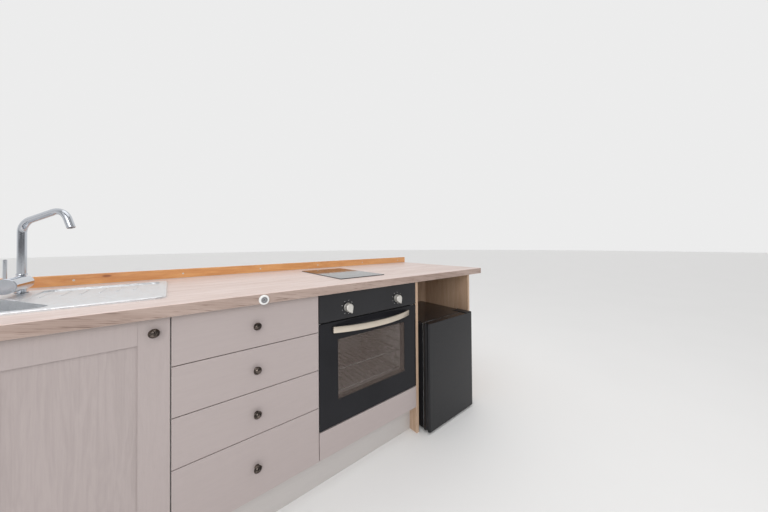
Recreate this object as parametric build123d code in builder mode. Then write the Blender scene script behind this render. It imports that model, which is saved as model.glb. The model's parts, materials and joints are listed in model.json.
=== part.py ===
"""Fitted kitchen run of a small holiday cabin: sink unit, drawer unit, built-under
oven, hob, worktop and a fridge bay closed by oak panels. Millimetres, +Z up, +X along
the run, the fronts face -Y. The origin is on the floor, in the middle of the run."""
import os
from math import asin, cos, degrees, pi, radians, sin, tan

from build123d import *

os.makedirs("parts", exist_ok=True)

# Gaps and boards, shared by all units
board_thickness = 18
thin_back_thickness = 8
reveal = 3
front_gap = 2
running_gap = 0.3
edge_radius = 1.2

# Floor units, from the fronts' faces backwards
plinth_height = 150
plinth_setback = 57
front_thickness = 18
carcass_depth = 560
sink_unit_width = 800
drawer_unit_width = 500
rail_width = 80
sink_back_height = 420

# Worktop and upstand
worktop_thickness = 38
worktop_front_overhang = 22
worktop_left_overhang = 20
worktop_right_overhang = 116
worktop_reach_back = 800
worktop_edge_radius = 3
end_panel_back_gap = 20
upstand_height = 50
upstand_thickness = 20

# Sink
sink_left_margin = 9
sink_setback = 115
sink_rim_height = 8
sink_sheet = 1.5
sink_lip = 3
sink_corner_radius = 28
cutout_lap = 10
bowl_left_margin = 110
bowl_front_margin = 20
bowl_front_length = 420
bowl_back_length = 200
bowl_width = 350
bowl_depth = 158
bowl_draft = 4
bowl_corner_radius = 27
bowl_floor_radius = 13
bowl_flange = 10
waste_from_bowl_left = 150
tap_deck_width = 145
drainer_gap = 16
drainer_front_length = 206
drainer_front_margin = 35
drainer_back_margin = 40
drainer_right_margin = 28
drainer_recess = 5
rib_count = 6
rib_pitch = 49
rib_width = 8
rib_height = 2
rib_length = 135
rib_right_margin = 75
rib_back_margin = 45

# Waste fitting under the bowl
waste_hole_radius = 45
waste_flange_width = 6
waste_flange_thickness = 2
strainer_depth = 30
strainer_plate_depth = 12
tail_radius = 20
tail_length = 80
trap_radius = 34
trap_height = 120
trap_shoulder = 8
outlet_nut_radius = 30
outlet_nut_length = 16
outlet_length = 90

# Hob
hob_width = 290
hob_depth = 520
hob_glass_thickness = 4
hob_corner_radius = 6
hob_bevel = 1
hob_box_depth = 42
hob_box_gap = 2
hob_setback = 125
hob_offset = 182

# Tap
tap_right_of_bowl = 44
tap_behind_bowl = 85
tap_to_drainer = 52
tap_stem_radius = 12
tap_stem_height = 12
tap_foot_width = 4
tap_foot_height = 3
tap_body_radius = 27
tap_body_length = 142
tap_body_tail = 4
tap_edge = 2
tap_cap_length = 14
spout_radius = 12
spout_rise = 199
spout_slope = 18.5
spout_reach = 157
spout_tip_drop = 70
spout_tip_out = 28
spout_heading = -39
spout_low_bend = 50
spout_high_bend = 42
lever_radius = 4.5
lever_length = 92

# Oven
oven_front_width = 595
oven_front_height = 595
oven_side_gap = 2.5
oven_body_gap = 2
oven_back_space = 20
oven_top_space = 18
oven_sheet = 1.5
oven_panel_height = 125
oven_panel_gap = 5
oven_door_thickness = 36
oven_door_lift = 2
oven_door_side_inset = 10
oven_door_end_inset = 4
oven_glass_thickness = 5
oven_glass_corner = 3
oven_window_width = 414
oven_window_height = 272
oven_window_raise = 14
oven_bevel = 1
cavity_width = 450
cavity_door_margin = 54
cavity_depth = 410
cavity_corner_radius = 20
rail_wire_radius = 2
rail_offset = 20
rail_to_upright = 3
rail_end_inset = 6
rail_upright_inset = 40
rail_count = 5
rail_low_level = 60
rail_pitch = 50
rack_wire_radius = 2.5
rack_wire_count = 14
rack_front_inset = 10
rack_back_inset = 30
wire_sides = 6
racks_on_rails = (0, 2)
oven_handle_length = 468
oven_handle_height = 28
oven_handle_thickness = 8
oven_handle_reach = 60
oven_handle_bow = 48
oven_handle_drop = 32
oven_handle_foot = 16
oven_knob_radius = 20
oven_knob_reach = 24
oven_knob_spacing = 309
oven_knob_height = 52
oven_knob_tail = 32
oven_knob_tail_radius = 6
oven_knob_lean = 25
oven_hinge_spacing = 460
oven_hinge_width = 14
oven_hinge_height = 40
oven_hinge_length = 90
oven_filler_height = 119

# Doors, drawers and their fittings
shaker_frame_width = 75
shaker_recess = 6
shaker_joint_width = 0.8
shaker_joint_depth = 0.6
small_drawer_pitch = 162.8
small_drawer_count = 3
drawer_box_back_gap = 60
drawer_box_board = 15
drawer_bottom_board = 8
drawer_box_lift = 20
drawer_box_headroom = 30
runner_thickness = 12.7
runner_height = 45
runner_wall = 2
knob_radius = 16
knob_reach = 27
knob_neck_level = 12
knob_rim_level = 18
knob_foot_radius = 9
knob_foot_height = 2
knob_neck_radius = 6
knob_dome_facets = 3
door_knob_inset = 38
door_knob_drop = 42
door_post_depth = 80
hinge_level = 110
hinge_plate_thickness = 3
hinge_plate_height = 48
hinge_plate_length = 40
hinge_plate_setback = 28
hinge_arm_width = 14
hinge_arm_height = 20
hinge_arm_length = 66

# Fridge and the clearances of its bay
fridge_width = 434
fridge_left_clearance = 24
fridge_right_clearance = 46
fridge_back_clearance = 3
fridge_projection = 60
fridge_height = 628
fridge_body_depth = 402
fridge_door_thickness = 45
fridge_door_gap = 5
fridge_wall = 38
fridge_corner_radius = 10
fridge_inner_radius = 12
fridge_grip_radius = 9
fridge_grip_depth = 22
fridge_foot_height = 14
fridge_foot_radius = 17
fridge_foot_inset = 40
fridge_foot_depth_inset = 80
fridge_hinge_thickness = 3
fridge_hinge_length = 60
fridge_hinge_inset = 4
shelf_thickness = 4
shelf_count = 2
shelf_front_inset = 62
shelf_back_gap = 2
tray_depth = 45
tray_height = 50
tray_wall = 3
tray_side_gap = 18
tray_levels = (60, 260)

# Legs, the end panel's seam and the towel holder
leg_radius = 16
leg_foot_radius = 28
leg_foot_height = 10
leg_head_size = 56
leg_head_thickness = 6
leg_inset = 45
panel_strip_width = 50
panel_seam_width = 1.5
panel_seam_depth = 1
towel_holder_radius = 18
towel_holder_thickness = 9
towel_holder_bevel = 2
towel_hole_radius = 4
towel_hole_depth = 6
towel_holder_offset = 270
towel_holder_drop = 22

# Sizes worked out from these
carcass_height = oven_front_height + oven_filler_height + 2 * reveal
oven_unit_width = oven_front_width + 2 * oven_side_gap
fridge_bay_width = fridge_left_clearance + fridge_width + fridge_right_clearance
sink_length = (bowl_left_margin + bowl_front_length + drainer_gap + drainer_front_length
               + drainer_right_margin)
sink_width = bowl_front_margin + bowl_width + tap_deck_width

# Lines along the run
run_length = (worktop_left_overhang + board_thickness + sink_unit_width + drawer_unit_width
              + oven_unit_width + board_thickness + fridge_bay_width + board_thickness
              + worktop_right_overhang)
worktop_left_x = -run_length / 2
worktop_right_x = run_length / 2
left_panel_x = worktop_left_x + worktop_left_overhang
sink_unit_x = left_panel_x + board_thickness
drawer_unit_x = sink_unit_x + sink_unit_width
oven_unit_x = drawer_unit_x + drawer_unit_width
oven_panel_x = oven_unit_x + oven_unit_width
fridge_bay_x = oven_panel_x + board_thickness
right_panel_x = fridge_bay_x + fridge_bay_width

# Lines from front to back
front_y = (fridge_projection - worktop_reach_back) / 2
carcass_front_y = front_y + front_thickness + front_gap
carcass_back_y = carcass_front_y + carcass_depth
worktop_front_y = front_y - worktop_front_overhang
worktop_back_y = front_y + worktop_reach_back
end_panel_back_y = worktop_back_y - end_panel_back_gap
fridge_front_y = front_y - fridge_projection
fridge_body_y = fridge_front_y + fridge_door_thickness + fridge_door_gap
niche_back_y = fridge_body_y + fridge_body_depth + fridge_back_clearance

# Levels
carcass_top_z = plinth_height + carcass_height
worktop_top_z = carcass_top_z + worktop_thickness
front_low_z = plinth_height + reveal / 2
front_high_z = carcass_top_z - reveal / 2
unit_floor_z = plinth_height + board_thickness


def board(x_low, x_high, y_low, y_high, z_low, z_high):
    """Adds a flat board between two opposite corners to the open part."""
    with Locations(((x_low + x_high) / 2, (y_low + y_high) / 2, (z_low + z_high) / 2)):
        Box(x_high - x_low, y_high - y_low, z_high - z_low)


def save(builder, name):
    """Labels a finished piece and writes its file."""
    builder.part.label = name
    export_step(builder.part, f"parts/{name}.step")


# Worktop, with cut-outs for the sink and the hob
sink_x = sink_unit_x + sink_left_margin
sink_y = front_y + sink_setback
sink_middle = (sink_x + sink_length / 2, sink_y + sink_width / 2)
hob_middle = (oven_unit_x + hob_offset + hob_width / 2, front_y + hob_setback + hob_depth / 2)
with BuildPart() as worktop:
    with BuildSketch(Plane.XY.offset(carcass_top_z)):
        with Locations((0, (worktop_front_y + worktop_back_y) / 2)):
            Rectangle(run_length, worktop_back_y - worktop_front_y)
        with Locations(sink_middle):
            RectangleRounded(sink_length - 2 * cutout_lap, sink_width - 2 * cutout_lap,
                             sink_corner_radius - cutout_lap, mode=Mode.SUBTRACT)
        with Locations(hob_middle):
            Rectangle(hob_width - 2 * cutout_lap, hob_depth - 2 * cutout_lap,
                      mode=Mode.SUBTRACT)
    extrude(amount=worktop_thickness)
    fillet(worktop.edges().filter_by(Axis.X).group_by(Axis.Y)[0], worktop_edge_radius)
save(worktop, "worktop")

# Pine upstand along the back of the worktop
with BuildPart() as upstand:
    board(worktop_left_x, worktop_right_x, worktop_back_y - upstand_thickness, worktop_back_y,
          worktop_top_z, worktop_top_z + upstand_height)
    chamfer(upstand.edges().filter_by(Axis.X).group_by(Axis.Z)[-1].sort_by(Axis.Y)[0],
            edge_radius)
save(upstand, "upstand")

# Sink: lines of the slanted bowl, and of the drainer beside it
rim_top_z = worktop_top_z + sink_rim_height
bowl_left_x = sink_x + bowl_left_margin
bowl_front_y = sink_y + bowl_front_margin
bowl_back_y = bowl_front_y + bowl_width
bowl_floor_z = rim_top_z - bowl_depth
bowl_slant = (bowl_front_length - bowl_back_length) / bowl_width
waste_x = bowl_left_x + waste_from_bowl_left
waste_y = (bowl_front_y + bowl_back_y) / 2
tap_x = bowl_left_x + bowl_back_length + tap_right_of_bowl
tap_y = bowl_back_y + tap_behind_bowl
drainer_front_y = sink_y + drainer_front_margin
drainer_back_y = sink_y + sink_width - drainer_back_margin
drainer_right_x = sink_x + sink_length - drainer_right_margin
drainer_left_x = tap_x + tap_to_drainer
drainer_front_x = (bowl_left_x + bowl_front_length + drainer_gap
                   - bowl_slant * (drainer_front_y - bowl_front_y))
drainer_turn_y = drainer_front_y + (drainer_front_x - drainer_left_x) / bowl_slant
bowl_corners = [(bowl_left_x, bowl_front_y), (bowl_left_x + bowl_front_length, bowl_front_y),
                (bowl_left_x + bowl_back_length, bowl_back_y), (bowl_left_x, bowl_back_y)]
drainer_corners = [(drainer_front_x, drainer_front_y), (drainer_right_x, drainer_front_y),
                   (drainer_right_x, drainer_back_y), (drainer_left_x, drainer_back_y),
                   (drainer_left_x, drainer_turn_y)]


def rounded_outline(corners, radius, grow):
    """A flat outline with rounded corners, grown by a margin all round."""
    with BuildSketch() as outline:
        Polygon(*corners, align=None)
        fillet(outline.vertices(), radius)
        if grow > 0:
            offset(amount=grow)
    return outline.sketch


# Sink deck: a pressed sheet with a rolled rim, a sunk drainer and its ribs
deck_hollow_height = sink_rim_height - sink_sheet
with BuildPart() as sink_deck:
    with BuildSketch(Plane.XY.offset(worktop_top_z)):
        with Locations(sink_middle):
            RectangleRounded(sink_length, sink_width, sink_corner_radius)
    extrude(amount=sink_rim_height)
    fillet(sink_deck.edges().group_by(Axis.Z)[-1], sink_rim_height / 2)
    with BuildSketch(Plane.XY.offset(rim_top_z)):
        add(rounded_outline(drainer_corners, sink_corner_radius, 0))
    extrude(amount=-drainer_recess, mode=Mode.SUBTRACT)
    with BuildSketch(Plane.XY.offset(rim_top_z - drainer_recess)):
        with Locations((drainer_right_x - rib_right_margin - (rib_count - 1) * rib_pitch / 2,
                        drainer_back_y - rib_back_margin - rib_length / 2)):
            with GridLocations(rib_pitch, 0, rib_count, 1):
                SlotOverall(rib_length, rib_width, rotation=90)
    extrude(amount=rib_height)
    with BuildSketch(Plane.XY.offset(worktop_top_z)):
        with Locations(sink_middle):
            RectangleRounded(sink_length - 2 * sink_lip, sink_width - 2 * sink_lip,
                             sink_corner_radius - sink_lip)
        add(rounded_outline(drainer_corners, sink_corner_radius, sink_sheet),
            mode=Mode.SUBTRACT)
    extrude(amount=deck_hollow_height, mode=Mode.SUBTRACT)
    with BuildSketch(Plane.XY.offset(worktop_top_z)):
        add(rounded_outline(drainer_corners, sink_corner_radius, 0))
    extrude(amount=deck_hollow_height - drainer_recess, mode=Mode.SUBTRACT)
    with BuildSketch(Plane.XY.offset(worktop_top_z)):
        add(rounded_outline(bowl_corners, bowl_corner_radius, 0))
    extrude(amount=sink_rim_height, mode=Mode.SUBTRACT)
save(sink_deck, "sink_deck")

# Sink bowl: a drafted shell with a round-edged floor and a flange under the deck
bowl_rim_z = rim_top_z - sink_sheet
with BuildPart() as sink_bowl:
    with BuildSketch(Plane.XY.offset(bowl_rim_z)):
        add(rounded_outline(bowl_corners, bowl_corner_radius, sink_sheet))
    extrude(amount=-bowl_depth, taper=bowl_draft)
    fillet(sink_bowl.edges().group_by(Axis.Z)[0], bowl_floor_radius + sink_sheet)
    with BuildPart(mode=Mode.SUBTRACT) as bowl_space:
        with BuildSketch(Plane.XY.offset(bowl_rim_z)):
            add(rounded_outline(bowl_corners, bowl_corner_radius, 0))
        extrude(amount=-(bowl_depth - sink_sheet), taper=bowl_draft)
        fillet(bowl_space.edges().group_by(Axis.Z)[0], bowl_floor_radius)
    with BuildSketch(Plane.XY.offset(bowl_rim_z)):
        add(rounded_outline(bowl_corners, bowl_corner_radius, bowl_flange))
        add(rounded_outline(bowl_corners, bowl_corner_radius, 0), mode=Mode.SUBTRACT)
    extrude(amount=-sink_sheet)
    with BuildSketch(Plane.XY.offset(bowl_floor_z)):
        with Locations((waste_x, waste_y)):
            Circle(waste_hole_radius)
    extrude(amount=2 * sink_sheet, both=True, mode=Mode.SUBTRACT)
save(sink_bowl, "sink_bowl")

# Waste: strainer cup in the bowl's floor, bottle trap, and the outlet with its nut
strainer_base_z = bowl_floor_z - strainer_depth
outlet_level_z = strainer_base_z - tail_length
trap_base_z = outlet_level_z - trap_height / 2
trap_top_z = trap_base_z + trap_height
with BuildPart() as sink_waste:
    with BuildSketch(Plane(origin=(waste_x, waste_y, 0), x_dir=(1, 0, 0), z_dir=(0, -1, 0))):
        with BuildLine():
            Polyline((0, trap_base_z), (trap_radius, trap_base_z), (trap_radius, trap_top_z),
                     (tail_radius, trap_top_z + trap_shoulder),
                     (tail_radius, strainer_base_z),
                     (waste_hole_radius - running_gap, strainer_base_z),
                     (waste_hole_radius - running_gap, bowl_floor_z),
                     (waste_hole_radius + waste_flange_width, bowl_floor_z),
                     (waste_hole_radius, bowl_floor_z + waste_flange_thickness),
                     (waste_hole_radius - waste_flange_width,
                      bowl_floor_z + waste_flange_thickness),
                     (waste_hole_radius - waste_flange_width,
                      bowl_floor_z - strainer_plate_depth),
                     (0, bowl_floor_z - strainer_plate_depth), close=True)
        make_face()
    revolve(axis=Axis((waste_x, waste_y, 0), (0, 0, 1)))
    with BuildSketch(Plane.XZ.offset(-waste_y)):
        with Locations((waste_x, outlet_level_z)):
            Circle(outlet_nut_radius)
    extrude(amount=-(trap_radius + outlet_nut_length))
    with BuildSketch(Plane.XZ.offset(-(waste_y + trap_radius + outlet_nut_length))):
        with Locations((waste_x, outlet_level_z)):
            Circle(tail_radius)
    extrude(amount=-outlet_length)
save(sink_waste, "sink_waste")

# Tap: stem and horizontal body, swivelling spout, lever on the body's front cap
tap_body_z = rim_top_z + tap_stem_height + tap_body_radius
tap_back_y = tap_y + tap_stem_radius + tap_body_tail
tap_front_y = tap_back_y - tap_body_length
with BuildPart() as tap_body:
    with BuildSketch(Plane.XY.offset(rim_top_z)):
        with Locations((tap_x, tap_y)):
            Circle(tap_stem_radius + tap_foot_width)
    extrude(amount=tap_foot_height)
    with BuildSketch(Plane.XY.offset(rim_top_z)):
        with Locations((tap_x, tap_y)):
            Circle(tap_stem_radius)
    extrude(amount=tap_stem_height + tap_body_radius)
    with BuildSketch(Plane.XZ.offset(-tap_front_y)):
        with Locations((tap_x, tap_body_z)):
            Circle(tap_body_radius)
    extrude(amount=-tap_body_length)
    chamfer(tap_body.edges().filter_by(GeomType.CIRCLE).sort_by(Axis.Y)[-1], tap_edge)
save(tap_body, "tap_body")

spout_base_z = tap_body_z + tap_body_radius + running_gap
spout_peak = spout_rise + spout_reach * tan(radians(spout_slope))
with BuildPart() as tap_spout:
    with BuildLine(Plane(origin=(tap_x, tap_y, spout_base_z),
                         x_dir=(cos(radians(spout_heading)), sin(radians(spout_heading)), 0),
                         z_dir=(sin(radians(spout_heading)), -cos(radians(spout_heading)), 0))):
        FilletPolyline((0, 0), (0, spout_rise), (spout_reach, spout_peak),
                       (spout_reach + spout_tip_out, spout_peak - spout_tip_drop),
                       radius=[spout_low_bend, spout_high_bend])
    with BuildSketch(Plane.XY.offset(spout_base_z)):
        with Locations((tap_x, tap_y)):
            Circle(spout_radius)
    sweep()
save(tap_spout, "tap_spout")

with BuildPart() as tap_lever:
    with BuildSketch(Plane.XZ.offset(-(tap_front_y - running_gap))):
        with Locations((tap_x, tap_body_z)):
            Circle(tap_body_radius)
    extrude(amount=tap_cap_length)
    chamfer(tap_lever.edges().filter_by(GeomType.CIRCLE).sort_by(Axis.Y)[0], tap_edge)
    with BuildSketch(Plane.XY.offset(tap_body_z)):
        with Locations((tap_x, tap_front_y - tap_cap_length / 2)):
            Circle(lever_radius)
    extrude(amount=lever_length)
save(tap_lever, "tap_lever")

# Hob: a bevelled glass plate on the worktop over the box of its heaters
with BuildPart() as hob:
    with BuildSketch(Plane.XY.offset(worktop_top_z)):
        with Locations(hob_middle):
            RectangleRounded(hob_width, hob_depth, hob_corner_radius)
    extrude(amount=hob_glass_thickness)
    chamfer(hob.edges().group_by(Axis.Z)[-1], hob_bevel)
    with BuildSketch(Plane.XY.offset(worktop_top_z)):
        with Locations(hob_middle):
            Rectangle(hob_width - 2 * (cutout_lap + hob_box_gap),
                      hob_depth - 2 * (cutout_lap + hob_box_gap))
    extrude(amount=-hob_box_depth)
save(hob, "hob")

# Carcass sides of the three units
unit_spans = {"sink_unit": (sink_unit_x, drawer_unit_x),
              "drawer_unit": (drawer_unit_x, oven_unit_x),
              "oven_unit": (oven_unit_x, oven_panel_x)}
for unit, (x_low, x_high) in unit_spans.items():
    with BuildPart() as sides:
        for side_x in (x_low, x_high - board_thickness):
            board(side_x, side_x + board_thickness, carcass_front_y, carcass_back_y,
                  plinth_height, carcass_top_z)
    save(sides, f"{unit}_sides")

# Floors of the units and the shelf that carries the oven
oven_low_z = front_high_z - oven_front_height
oven_shelf_z = oven_low_z - reveal / 2
with BuildPart() as carcass_floors:
    for x_low, x_high in unit_spans.values():
        board(x_low + board_thickness, x_high - board_thickness, carcass_front_y,
              carcass_back_y, plinth_height, unit_floor_z)
    board(oven_unit_x + board_thickness, oven_panel_x - board_thickness, carcass_front_y,
          carcass_back_y, oven_shelf_z - board_thickness, oven_shelf_z)
save(carcass_floors, "carcass_floors")

# Thin backs: the sink unit's stops below the bowl for its pipes
back_levels = {"sink_unit": plinth_height + sink_back_height,
               "drawer_unit": carcass_top_z - board_thickness}
with BuildPart() as carcass_backs:
    for unit, back_high_z in back_levels.items():
        x_low, x_high = unit_spans[unit]
        board(x_low + board_thickness, x_high - board_thickness,
              carcass_back_y - thin_back_thickness, carcass_back_y, unit_floor_z, back_high_z)
save(carcass_backs, "carcass_backs")

# Rails under the worktop: upright over the sink unit's doors, flat in the drawer unit
with BuildPart() as carcass_rails:
    board(sink_unit_x + board_thickness, drawer_unit_x - board_thickness, carcass_front_y,
          carcass_front_y + board_thickness, carcass_top_z - rail_width, carcass_top_z)
    for rail_y in (carcass_front_y, carcass_back_y - rail_width):
        board(drawer_unit_x + board_thickness, oven_unit_x - board_thickness, rail_y,
              rail_y + rail_width, carcass_top_z - board_thickness, carcass_top_z)
save(carcass_rails, "carcass_rails")

# Post between the two doors, which carries the right door's hinges
door_post_x = sink_unit_x + sink_unit_width / 2 - board_thickness / 2
with BuildPart() as door_post:
    board(door_post_x, door_post_x + board_thickness, carcass_front_y,
          carcass_front_y + door_post_depth, unit_floor_z, carcass_top_z - rail_width)
save(door_post, "door_post")

# Plinth and adjustable legs
plinth_back_y = front_y + plinth_setback + board_thickness
with BuildPart() as plinth:
    board(sink_unit_x, oven_panel_x, plinth_back_y - board_thickness, plinth_back_y,
          0, plinth_height - front_gap)
save(plinth, "plinth")

leg_lines_y = (plinth_back_y + running_gap + leg_foot_radius, carcass_back_y - leg_foot_radius)
leg_places = [(leg_x, leg_y) for x_low, x_high in unit_spans.values()
              for leg_x in (x_low + leg_inset, x_high - leg_inset) for leg_y in leg_lines_y]
with BuildPart() as legs:
    with BuildSketch(Plane.XY):
        with Locations(leg_places):
            Circle(leg_foot_radius)
    extrude(amount=leg_foot_height)
    with BuildSketch(Plane.XY.offset(leg_foot_height)):
        with Locations(leg_places):
            Circle(leg_radius)
    extrude(amount=plinth_height - leg_head_thickness - leg_foot_height)
    with BuildSketch(Plane.XY.offset(plinth_height)):
        with Locations(leg_places):
            Rectangle(leg_head_size, leg_head_size)
    extrude(amount=-leg_head_thickness)
save(legs, "legs")

# Oak panels: left end, between oven and fridge, and right end with the seam of its strip
for panel, panel_x in {"left_end_panel": left_panel_x, "oven_side_panel": oven_panel_x,
                       "right_end_panel": right_panel_x}.items():
    with BuildPart() as oak_panel:
        board(panel_x, panel_x + board_thickness, front_y, end_panel_back_y, 0,
              carcass_top_z)
        fillet(oak_panel.edges().filter_by(Axis.Z).group_by(Axis.Y)[0], edge_radius)
        if panel == "right_end_panel":
            with BuildSketch(Plane.XY):
                with Locations((panel_x, front_y + panel_strip_width)):
                    Rectangle(2 * panel_seam_depth, panel_seam_width)
            extrude(amount=carcass_top_z, mode=Mode.SUBTRACT)
    save(oak_panel, panel)

with BuildPart() as niche_back:
    board(fridge_bay_x, right_panel_x, niche_back_y, niche_back_y + board_thickness, 0,
          carcass_top_z)
save(niche_back, "niche_back")

# Turned knob with its foot at the origin, used by the doors and the drawers
dome_height = knob_reach - knob_rim_level
dome_radius = (knob_radius ** 2 + dome_height ** 2) / (2 * dome_height)
dome_half_angle = degrees(asin(knob_radius / dome_radius))
dome_angles = [radians(dome_half_angle * (1 - step / knob_dome_facets))
               for step in range(knob_dome_facets + 1)]
dome_points = [(dome_radius * sin(angle), knob_reach - dome_radius * (1 - cos(angle)))
               for angle in dome_angles]
with BuildPart() as knob:
    with BuildSketch(Plane(origin=(0, 0, 0), x_dir=(1, 0, 0), z_dir=(0, 0, -1))):
        with BuildLine():
            Polyline((0, 0), (knob_foot_radius, 0), (knob_foot_radius, knob_foot_height),
                     (knob_neck_radius, 2 * knob_foot_height),
                     (knob_neck_radius, knob_neck_level), *dome_points, close=True)
        make_face()
    revolve(axis=Axis((0, 0, 0), (0, -1, 0)))

# Shaker doors: a framed face with the joints of its rails, and the knob
door_width = sink_unit_width / 2 - reveal
door_height = front_high_z - front_low_z
door_middle_z = (front_low_z + front_high_z) / 2
for index, name in enumerate(("door_left", "door_right")):
    door_x = sink_unit_x + reveal / 2 + index * sink_unit_width / 2
    door_middle = (door_x + door_width / 2, door_middle_z)
    with BuildPart() as door:
        board(door_x, door_x + door_width, front_y, front_y + front_thickness,
              front_low_z, front_high_z)
        chamfer(door.edges().group_by(Axis.Y)[0], edge_radius)
        with BuildSketch(Plane.XZ.offset(-front_y)):
            with Locations(door_middle):
                Rectangle(door_width - 2 * shaker_frame_width,
                          door_height - 2 * shaker_frame_width)
        extrude(amount=-shaker_recess, mode=Mode.SUBTRACT)
        with BuildSketch(Plane.XZ.offset(-front_y)):
            with Locations(door_middle):
                with GridLocations(door_width - 2 * shaker_frame_width,
                                   door_height - shaker_frame_width, 2, 2):
                    Rectangle(shaker_joint_width, shaker_frame_width)
        extrude(amount=-shaker_joint_depth, mode=Mode.SUBTRACT)
    save(door, name)
    with BuildPart() as door_knob:
        with Locations((door_x + door_width - door_knob_inset, front_y,
                        front_high_z - door_knob_drop)):
            add(knob.part)
    save(door_knob, f"{name}_knob")

# Hinges inside the sink unit: a plate on the side or the post, and the arm to the door
hinge_y = front_y + front_thickness + running_gap
with BuildPart() as door_hinges:
    for plate_x in (sink_unit_x + board_thickness, door_post_x + board_thickness):
        arm_x = plate_x + hinge_plate_thickness
        for hinge_z in (front_low_z + hinge_level, front_high_z - hinge_level):
            board(plate_x, arm_x, carcass_front_y + hinge_plate_setback,
                  carcass_front_y + hinge_plate_setback + hinge_plate_length,
                  hinge_z - hinge_plate_height / 2, hinge_z + hinge_plate_height / 2)
            board(arm_x, arm_x + hinge_arm_width, hinge_y, hinge_y + hinge_arm_length,
                  hinge_z - hinge_arm_height / 2, hinge_z + hinge_arm_height / 2)
save(door_hinges, "door_hinges")

# Drawers: front, box and knob of each
drawer_middle_x = drawer_unit_x + drawer_unit_width / 2
drawer_box_width = drawer_unit_width - 2 * (board_thickness + runner_thickness + running_gap)
drawer_box_length = carcass_depth - drawer_box_back_gap
drawer_tops = [front_high_z - row * small_drawer_pitch for row in range(small_drawer_count + 1)]
drawer_lows = [top - small_drawer_pitch + reveal for top in drawer_tops[:-1]] + [front_low_z]
drawer_box_y = front_y + front_thickness
for row, (top, low) in enumerate(zip(drawer_tops, drawer_lows), start=1):
    with BuildPart() as drawer_front:
        board(drawer_unit_x + reveal / 2, oven_unit_x - reveal / 2, front_y, drawer_box_y,
              low, top)
        chamfer(drawer_front.edges().group_by(Axis.Y)[0], edge_radius)
    save(drawer_front, f"drawer_{row}_front")
    with BuildPart() as drawer_box:
        board(drawer_middle_x - drawer_box_width / 2, drawer_middle_x + drawer_box_width / 2,
              drawer_box_y, drawer_box_y + drawer_box_length, low + drawer_box_lift,
              top - drawer_box_headroom)
        with BuildSketch(Plane.XY.offset(low + drawer_box_lift + drawer_bottom_board)):
            with Locations((drawer_middle_x, drawer_box_y + drawer_box_length / 2)):
                Rectangle(drawer_box_width - 2 * drawer_box_board,
                          drawer_box_length - 2 * drawer_box_board)
        extrude(amount=top - low, mode=Mode.SUBTRACT)
    save(drawer_box, f"drawer_{row}_box")
    with BuildPart() as drawer_knob:
        with Locations((drawer_middle_x, front_y, (top + low) / 2)):
            add(knob.part)
    save(drawer_knob, f"drawer_{row}_knob")

# Runners in the drawer unit: channels open towards the boxes
left_web_x = drawer_unit_x + board_thickness
right_web_x = oven_unit_x - board_thickness - runner_wall
with BuildPart() as drawer_runners:
    for low in drawer_lows:
        runner_low_z = low + drawer_box_lift
        runner_high_z = runner_low_z + runner_height
        for web_x, flange_x in ((left_web_x, left_web_x),
                                (right_web_x, right_web_x + runner_wall - runner_thickness)):
            board(web_x, web_x + runner_wall, carcass_front_y,
                  carcass_front_y + drawer_box_length, runner_low_z, runner_high_z)
            for flange_z in (runner_low_z, runner_high_z - runner_wall):
                board(flange_x, flange_x + runner_thickness, carcass_front_y,
                      carcass_front_y + drawer_box_length, flange_z, flange_z + runner_wall)
save(drawer_runners, "drawer_runners")

# Oven: lines of its panel, door and cavity
oven_middle_x = oven_unit_x + oven_unit_width / 2
oven_body_width = oven_unit_width - 2 * (board_thickness + oven_body_gap)
oven_panel_low_z = front_high_z - oven_panel_height
oven_door_top_z = oven_panel_low_z - oven_panel_gap
oven_door_low_z = oven_low_z + oven_door_lift
oven_door_height = oven_door_top_z - oven_door_low_z
oven_door_middle = (oven_middle_x, (oven_door_low_z + oven_door_top_z) / 2)
casing_front_y = front_y + oven_door_thickness + front_gap
casing_back_y = carcass_back_y - oven_back_space
casing_top_z = front_high_z - oven_top_space
cavity_height = oven_door_height - 2 * cavity_door_margin
cavity_low_z = oven_door_middle[1] - cavity_height / 2

# Oven casing, open at the front
with BuildPart() as oven_casing:
    with BuildSketch(Plane.YZ.offset(oven_middle_x)):
        with BuildLine():
            Polyline((casing_front_y, oven_shelf_z), (casing_back_y, oven_shelf_z),
                     (casing_back_y, casing_top_z), (casing_front_y, casing_top_z),
                     close=True)
        make_face()
    extrude(amount=oven_body_width / 2, both=True)
    offset(amount=-oven_sheet, openings=oven_casing.faces().sort_by(Axis.Y)[0])
save(oven_casing, "oven_casing")

# Oven cavity: a box with a front flange, slotted for the door's hinges
with BuildPart() as oven_cavity:
    with BuildSketch(Plane.XZ.offset(-casing_front_y)):
        with Locations((oven_middle_x, (oven_shelf_z + casing_top_z) / 2)):
            Rectangle(oven_body_width - 2 * oven_sheet,
                      casing_top_z - oven_shelf_z - 2 * oven_sheet)
    extrude(amount=-oven_sheet)
    with BuildSketch(Plane.XZ.offset(-casing_front_y)):
        with Locations(oven_door_middle):
            RectangleRounded(cavity_width + 2 * oven_sheet, cavity_height + 2 * oven_sheet,
                             cavity_corner_radius + oven_sheet)
    extrude(amount=-(cavity_depth + oven_sheet))
    with BuildSketch(Plane.XZ.offset(-casing_front_y)):
        with Locations(oven_door_middle):
            RectangleRounded(cavity_width, cavity_height, cavity_corner_radius)
    extrude(amount=-cavity_depth, mode=Mode.SUBTRACT)
    with BuildSketch(Plane.XZ.offset(-casing_front_y)):
        with Locations((oven_middle_x,
                        oven_shelf_z + oven_sheet + oven_hinge_height / 2)):
            with GridLocations(oven_hinge_spacing, 0, 2, 1):
                Rectangle(oven_hinge_width + 2 * running_gap,
                          oven_hinge_height + 2 * running_gap)
    extrude(amount=-oven_sheet, mode=Mode.SUBTRACT)
save(oven_cavity, "oven_cavity")

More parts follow.
